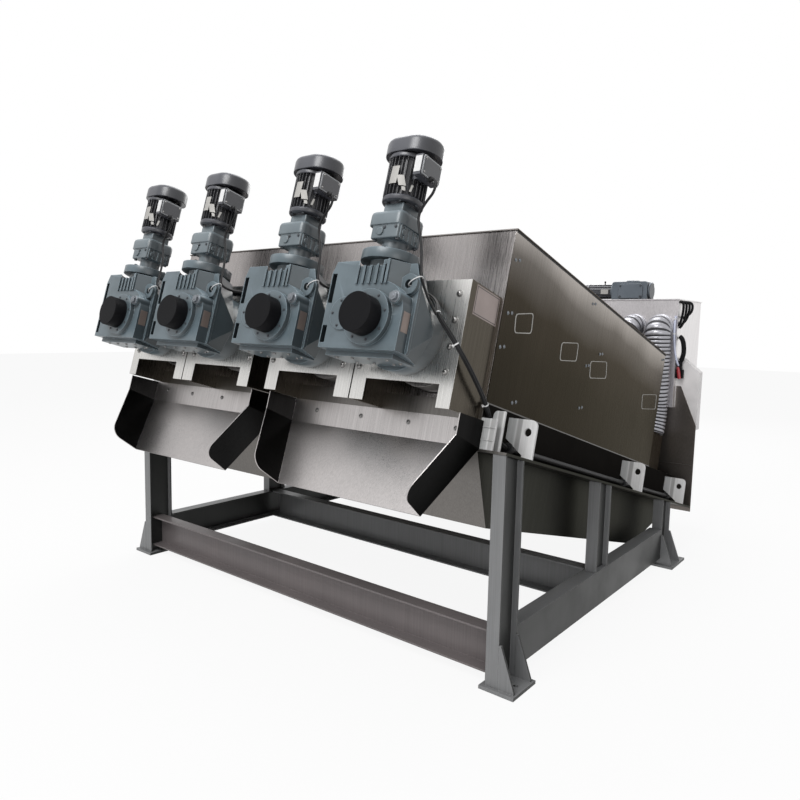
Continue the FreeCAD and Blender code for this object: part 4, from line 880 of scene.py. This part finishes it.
def gear_details(number, axis):
    """Bolts, oil plug, blank plate and tag of one gear unit."""
    slot = f"gear_unit_{number}"
    ahead = (0, -1, 0)
    rim = ring_places((axis, RIM_FACE, GEAR_HEIGHT), 101, range(15, 375, 45), (0, 0, 1))
    hex_bolts(f"rim_bolts_{number}", rim, ahead, 5.0, BODY)
    cover = ring_places((axis - 148, GEAR_FACE, 448), 58, (110, 180, 250), (0, 0, 1))
    hex_bolts(f"cover_bolts_{number}", cover, ahead, 5.0, BODY)
    mesh = bmesh.new()
    lathe(mesh, [(25, 0), (25, 3), (22, 5)], (axis + PLUG_X, -540, PLUG_Z), ahead, 32)
    prism(mesh, hexagon(19), 12, (axis + PLUG_X, -545, PLUG_Z), ahead, 0.5)
    lathe(mesh, [(9, 0), (9, 1.5)], (axis + PLUG_X, -557, PLUG_Z), ahead, 20)
    piece(f"oil_plug_{number}", mesh, "plug", BODY, bevel=1.2)
    sump = [(axis + x, y, SUMP) for x, y in SUMP_BOLTS]
    hex_bolts(f"sump_bolts_{number}", sump, (0, 0, -1), 7.0, BODY, "bright")
    flange = ring_places((axis + STACK_SHIFT, STACK, INPUT_TOP), 114, range(20, 380, 45), (0, 1, 0))
    hex_bolts(f"input_bolts_{number}", flange, (0, 0, 1), 9.0, BODY)
    mesh = bmesh.new()
    prism(mesh, [(-13, -11), (13, -11), (0, 12)], 0.8, (axis - 128, GEAR_FACE, 437), ahead)
    piece(f"oil_tag_{number}", mesh, "lime", BODY)
    plate = (axis + 166, axis + 167.2, -509, -466, 380, 464)
    box_piece(f"side_plate_{number}", "brown_plate", BODY, slot, plate, bevel=0.4)


def helical_housings():
    """Neck, ribbed case, wider rim and square adaptor of all four stacks."""
    mesh = bmesh.new()
    bolts, nuts, screws = [], [], []
    for x in (axis + STACK_SHIFT for axis in AXES):
        neck = [(60, INPUT_TOP), (56, INPUT_TOP + 5), (56, CASE_LOW - 6), (62, CASE_LOW + 1)]
        lathe(mesh, neck, (x, STACK, 0), (0, 0, 1), 40)
        case = [(CASE_LOW, 3), (CASE_LOW + 3, 0), (860, 0)]
        stacked(mesh, round_rect(76, CASE_HALF, 9), case, (x - 3, STACK, 0))
        rim = [(855, 2), (857, 0), (900, 0), (911, 4), (917, 12)]
        stacked(mesh, round_rect(93, 86, 30), rim, (x - 10, STACK, 0))
        adaptor = [(ADAPTOR_LOW, -6), (922, 0), (956, 0), (960, 2)]
        stacked(mesh, round_rect(54, 56, 6), adaptor, (x, STACK, 0))
        for y in (-62, -32, -2, 28, 58):
            stacked(mesh, round_rect(5, 6, 2), [(800, 1), (802, 0), (854, 0)], (x + 73, STACK + y, 0))
        for y in (-45, 40):
            lathe(mesh, [(13, 0), (13, 6), (11, 8)], (x + 72.5, STACK + y, CASE_MIDDLE), (1, 0, 0), 24)
        lathe(mesh, [(18, 0), (18, 5), (15, 7)], (x - 26, STACK - CASE_HALF, CASE_MIDDLE), (0, -1, 0), 28)
        bolts += [(x + a, STACK + b, 911) for a in (-76, 62) for b in (-62, 62)]
        nuts += [(x + a, STACK + b, CASE_LOW) for a in (-62, 60) for b in (-62, 62)]
        screws += [(x + a, STACK - CASE_HALF, 842) for a in (-6, 56)]
    made = piece("helical_housings", mesh, "helical", BODY, bevel=1.5)
    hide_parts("helical_units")
    hex_bolts("helical_bolts", bolts, (0, 0, 1), 8.0, BODY)
    hex_bolts("helical_nuts", nuts, (0, 0, -1), 9.0, BODY)
    hex_bolts("helical_screws", screws, (0, -1, 0), 6.0, BODY)


def drive_motor(number, x):
    """Flange, finned barrel, end shield, rain cowl and terminal box."""
    mesh = bmesh.new()
    foot, up = (x, STACK, 0), (0, 0, 1)
    flange = [(58, 958), (58, 965), (82, FLANGE_LOW), (90, 968), (92, 972), (92, 984), (88, 990), (70, 991)]
    lathe(mesh, flange, foot, up, 56)
    lathe(mesh, [(BARREL, 989), (BARREL, 1165)], foot, up, 48, (1,))
    for index in range(FINS):
        turn = 2 * math.pi * (index + 0.5) / FINS
        way, side = Vector((math.cos(turn), math.sin(turn), 0)), Vector((-math.sin(turn), math.cos(turn), 0))
        outline = [(74, -2.0), (74, 2.0), (92.5, 1.4), (92.5, -1.4)]
        skin(mesh, [[mesh.verts.new(Vector((x, STACK, z)) + way * r + side * t) for r, t in outline]
                    for z in (FIN_LOW, FIN_HIGH)], (1,))
    lathe(mesh, [(BARREL, 1157), (94, 1157.5), (96, 1160), (96, 1173), (93, 1177), (80, 1178)], foot, up, 56)
    hood = [(1179, 6), (1178, 2), (1180, 0), (1230, 0), (1240, 3), (1247, 9), (1251, 18), (HOOD_TOP, 32)]
    stacked(mesh, stadium(34, 99), hood, (x + 15, STACK, 0))
    box(mesh, x + 108, x + 146, TERMINAL_FRONT, STACK + 33.5, TERMINAL_LOW, TERMINAL_HIGH)
    box(mesh, x + 60, x + 109, STACK - 50, STACK + 28, TERMINAL_LOW + 8, TERMINAL_HIGH - 8)
    slot = f"drive_motor_{number}"
    made = piece(f"motor_{number}", mesh, ("shield", "motor"), BODY, bevel=1.2)
    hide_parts(slot)


def motor_details(number, axis):
    """Blank labels, terminal lid, flange nuts and fan grille of one motor."""
    slot = f"drive_motor_{number}"
    x, face, middle = axis + STACK_SHIFT, axis + TERMINAL_FACE, (TERMINAL_LOW + TERMINAL_HIGH) / 2
    mesh = bmesh.new()
    curved_plate(mesh, x, 92.8, 1034, 1112, (-13, 11), 3.0)
    curved_plate(mesh, x, 93.8, 1024, 1070, (20, 40), -10.0)
    curved_plate(mesh, x, 93.0, 1003, 1020, (31, 41), -3.0)
    curved_plate(mesh, x, 93.2, 1003, 1034, (50, 56), 4.0)
    piece(f"motor_labels_{number}", mesh, "label", BODY, smooth=False)
    mesh = bmesh.new()
    prism(mesh, round_rect(63, 43, 9), 8.0, (face, TERMINAL_MIDDLE, middle), (1, 0, 0))
    piece(f"terminal_lid_{number}", mesh, "terminal", BODY, bevel=1.5)
    mesh = bmesh.new()
    prism(mesh, round_rect(56, 36, 5), 1.2, (face + 8, TERMINAL_MIDDLE, middle), (1, 0, 0))
    piece(f"terminal_panel_{number}", mesh, "gloss_dark", BODY)
    screws = [(face + 9.2, TERMINAL_MIDDLE + y, middle + z) for y in (-50, 50) for z in (-30, 30)]
    button_screws(f"terminal_screws_{number}", screws, (1, 0, 0), 4.0, BODY)
    label = (axis + 64, axis + 98, TERMINAL_FRONT - 1.1, TERMINAL_FRONT, 1068, 1138)
    box_piece(f"terminal_label_{number}", "white_tie", BODY, slot, label)
    flange = ring_places((x, STACK, FLANGE_LOW), 76, range(0, 360, 60), (0, 1, 0))
    hex_bolts(f"motor_nuts_{number}", flange, (0, 0, -1), 7.0, BODY)
    mesh = bmesh.new()
    centre = Vector((x + 8, STACK, HOOD_TOP))
    for radius in (16, 27, 38, 49, 60):
        wire = [(radius - 1.5, -0.5), (radius - 1.5, 1.6), (radius + 1.5, 1.6), (radius + 1.5, -0.5)]
        hoop(mesh, wire, centre, (0, 0, 1), 40)
    for turn in range(0, 180, 45):
        along = Vector((math.cos(math.radians(turn)), math.sin(math.radians(turn)), 0)) * 62
        tube(mesh, [centre - along, centre + along], 1.4, 6)
    piece(f"fan_grille_{number}", mesh, "dark_bolt", BODY)


def cap_details():
    """Worn rims of the shaft caps."""
    mesh = bmesh.new()
    rim = [(77.0, -2.0), (78.5, -0.6), (80.5, -0.2), (82.4, -1.4), (83.6, -3.6), (80.0, -5.0)]
    for axis in AXES:
        hoop(mesh, rim, (axis, CAP_FACE, GEAR_HEIGHT), (0, -1, 0), 48)
    piece("cap_rims", mesh, "cap_edge", BODY)


# Cables and hoses

def smooth_way(points):
    """Points along the smooth line that these control points give."""
    data = bpy.data.curves.new("way", "CURVE")
    data.dimensions = "3D"
    data.resolution_u = 10
    spline = data.splines.new("NURBS")
    spline.points.add(len(points) - 1)
    for control, place in zip(spline.points, points):
        control.co = (*place, 1.0)
    spline.order_u = 3
    spline.use_endpoint_u = True
    holder = bpy.data.objects.new("way", data)
    mesh = bpy.data.meshes.new_from_object(holder)
    line = [vertex.co.copy() for vertex in mesh.vertices]
    bpy.data.objects.remove(holder)
    bpy.data.meshes.remove(mesh)
    return line


def resample(line, pitch):
    """Points an even distance apart along a line."""
    lengths = [0.0]
    for a, b in zip(line, line[1:]):
        lengths.append(lengths[-1] + (b - a).length)
    count = max(2, int(lengths[-1] / pitch))
    points, index = [], 0
    for step in range(count + 1):
        at = lengths[-1] * step / count
        while index < len(line) - 2 and lengths[index + 1] < at:
            index += 1
        share = (at - lengths[index]) / max(1e-6, lengths[index + 1] - lengths[index])
        points.append(line[index].lerp(line[index + 1], min(1.0, share)))
    return points


def smooth_tube(mesh, points, pitch, radius, steps=12):
    tube(mesh, resample(smooth_way(points), pitch), radius, steps)


def strand(mesh, line, phase):
    """One lead of the trunk, twisted round its line."""
    ways = [(b - a).normalized() for a, b in zip(line, line[1:])]
    ways.append(ways[-1])
    side = ways[0].orthogonal().normalized()
    points = []
    for index, (point, way) in enumerate(zip(line, ways)):
        side = (side - way * side.dot(way)).normalized()
        turn = phase + STRAND_TWIST * index
        points.append(point + (side * math.cos(turn) + way.cross(side) * math.sin(turn)) * STRAND_OFFSET)
    tube(mesh, points, STRAND_RADIUS, 10)


def motor_cables():
    """The trunk's leads, and each motor's lead with its gland."""
    mesh = bmesh.new()
    trunk = resample(smooth_way(TRUNK_WAY), 14.0)
    for number in range(STRANDS):
        strand(mesh, trunk, 2 * math.pi * number / STRANDS)
    for axis in AXES:
        last = LEAD_TO_BUNDLE if axis == AXES[-1] else LEAD_TO_TRUNK
        seat = (axis + GLAND[0], *GLAND[1:])
        smooth_tube(mesh, [(axis + x, y, z) for x, y, z in LEAD_WAY + last], 12.0, LEAD_RADIUS)
        prism(mesh, hexagon(13.5), 8.0, seat, (1, 0, 0))
        lathe(mesh, [(11.5, 8.0), (11.5, 15.0), (8.0, 19.0), (5.4, 26.0)], seat, (1, 0, 0), 20)
    made = piece("cable_bundle", mesh, "sheath", BODY)
    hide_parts("motor_cables")


def cable_ties():
    """Ties with their heads on the trunk, and a tie through each gear unit's eye."""
    mesh = bmesh.new()
    trunk = smooth_way(TRUNK_WAY)
    for mark in TIE_PLACES:
        nearest = min(range(1, len(trunk) - 1), key=lambda k: (trunk[k] - Vector(mark)).length)
        along = (trunk[nearest + 1] - trunk[nearest - 1]).normalized()
        hoop(mesh, [(10.6, -3.0), (12.8, -3.0), (12.8, 3.0), (10.6, 3.0)], trunk[nearest], along, 28)
        side = along.cross(Vector((0.5, -1, 0.3))).normalized()
        prism(mesh, [(-4, -4), (4, -4), (4, 4), (-4, 4)], 8, trunk[nearest] + side * 11, side)
    reach, depth = Vector((30, 0, 18)), Vector((0, 19, 0))
    for axis in AXES:
        centre = Vector((axis + 158, -462, 603))
        loop = [centre + reach * x + depth * y for x, y in circle(1.0, 24)]
        tube(mesh, loop + loop[:1], 2.2, 8, capped=False)
    piece("cable_ties", mesh, "white_tie", BODY)


def grommets():
    """Rubber lips where the conduit passes under the lugs."""
    mesh = bmesh.new()
    lip = [(15, -8), (23.5, -8), (25.5, -4), (25.5, 20), (22, 24), (15, 24)]
    for station in LUG_STATIONS:
        hoop(mesh, lip, (CONDUIT_X, station, CONDUIT_Z), (0, 1, 0), 28)
    piece("grommet_lips", mesh, "rubber", BODY)


def level_point(x, y, z):
    """A point of the body's level frame, in the stand's upright frame."""
    run, rise = math.cos(SLOPE), math.sin(SLOPE)
    return Vector((x, y * run + z * rise, RAIL - y * rise + z * run))


def feed_hoses():
    """Ribbed hoses from the tank's sockets to the inlet chambers."""
    mesh = bmesh.new()
    for side in (-1, 1):
        for way, socket_x in HOSES:
            route = [Vector((side * x, y, z)) for x, y, z in way]
            route += [level_point(side * socket_x, *place) for place in (SOCKET_ABOVE, SOCKET_SEAT)]
            points = resample(smooth_way(route), RIB_STEP)
            radii = [RIB_RADII[k % len(RIB_RADII)] for k in range(len(points))]
            tube(mesh, points, radii, 36, RIB_LOOKS)
            lathe(mesh, [(92, 0), (96, 2), (96, 20), (92, 22)], route[0], (0, -1, 0), 40)
    made = piece("ribbed_hoses", mesh, ("hose", "groove"), STAND)
    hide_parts("feed_hoses")


# Rear

def rear_fittings():
    """Valve on the right side box with its hoses, and the cable straps on the tank's side."""
    mesh = bmesh.new()
    box(mesh, 1240, 1290, 2772, 2808, 1250, 1316)
    lathe(mesh, [(17, 0), (17, 60), (12, 66)], (1262, 2790, 1316), (0, 0, 1), 24)
    piece("valve_body", mesh, "black", STAND, bevel=3)
    mesh = bmesh.new()
    tube(mesh, [Vector(p) for p in VALVE_HANDLE], [9, 13, 13], 14)
    piece("valve_handle", mesh, "red", STAND)
    mesh = bmesh.new()
    smooth_tube(mesh, CLEAR_WAY, 10, 8.0, 14)
    piece("clear_hose", mesh, "clear_hose", STAND)
    mesh = bmesh.new()
    smooth_tube(mesh, BLACK_WAY, 8, 17.0, 16)
    piece("black_hose", mesh, "black", STAND)
    mesh = bmesh.new()
    for shift, low in STRAPS:
        y, bulge = STRAP_Y + shift, shift * 0.5
        way = ((1235.5, y, 1816), (1262 + bulge, y, 1822), (1268 + bulge, y, 1760),
               (1252 + shift * 0.4, y + 1, low + 20), (1238, y + 1, low))
        smooth_tube(mesh, way, 9, 9.0)
    piece("tank_side_straps", mesh, "black", STAND)
    mesh = bmesh.new()
    for z in CLIP_HEIGHTS:
        hoop(mesh, [(8, -4), (10.5, -4), (10.5, 4), (8, 4)], (1221, 2741, z), (0, 0, 1), 20)
        box(mesh, 1216, 1226, 2748, 2761, z - 4, z + 4)
    piece("clear_hose_clips", mesh, "white_tie", STAND)


def mixer_details():
    """Cover plate, end caps, bolts, blank plate and knob of each mixer drive."""
    for side, name in SIDES:
        gears, motors, centre = "mixer_gear_units", "mixer_motors", side * 790
        mesh = bmesh.new()
        prism(mesh, round_rect(98, 58, 22), COVER_PLATE, (centre, MIXER_FACE, MIXER_Z), (0, -1, 0))
        lathe(mesh, [(66, 0), (66, 10), (60, 14), (40, 14)], (side * 922, MIXER_Y, MIXER_Z), (side, 0, 0), 40)
        lathe(mesh, [(70, 0), (70, 16), (64, 18)], (side * 637, MIXER_Y, MIXER_Z), (-side, 0, 0), 40)
        lathe(mesh, [(52, 0), (52, 10), (20, 13)], (side * 780, MIXER_Y, 1988), (0, 0, 1), 40)
        piece("mixer_covers_" + name, mesh, "mixer", STAND, bevel=2.0)
        places = [(centre + x, MIXER_FACE - COVER_PLATE, MIXER_Z + z) for x in (-82, 82) for z in (-42, 42)]
        hex_bolts("mixer_bolts_" + name, places, (0, -1, 0), 7.0, STAND)
        plate = (*sorted((side * 537.0, side * 600.0)), 2981, 2984, 1893, 1930)
        box_piece("mixer_plate_" + name, "label", STAND, motors, plate)
        mesh = bmesh.new()
        knob = [(4, -12), (4, 14), (7, 15), (7, 26), (4, 28)]
        lathe(mesh, knob, (side * 546, MIXER_Y, 1972), (0, 0, 1), 20)
        piece("mixer_knob_" + name, mesh, "black", STAND)


def main():
    MAT.update(make_materials())
    make_camera()
    make_room()
    dress_nodes()
    sheet_screws()
    outline_frames()
    helical_housings()
    for number, axis in enumerate(AXES, 1):
        gear_details(number, axis)
        drive_motor(number, axis + STACK_SHIFT)
        motor_details(number, axis)
    cap_details()
    motor_cables()
    cable_ties()
    grommets()
    feed_hoses()
    body_trim()
    rear_fittings()
    mixer_details()


main()
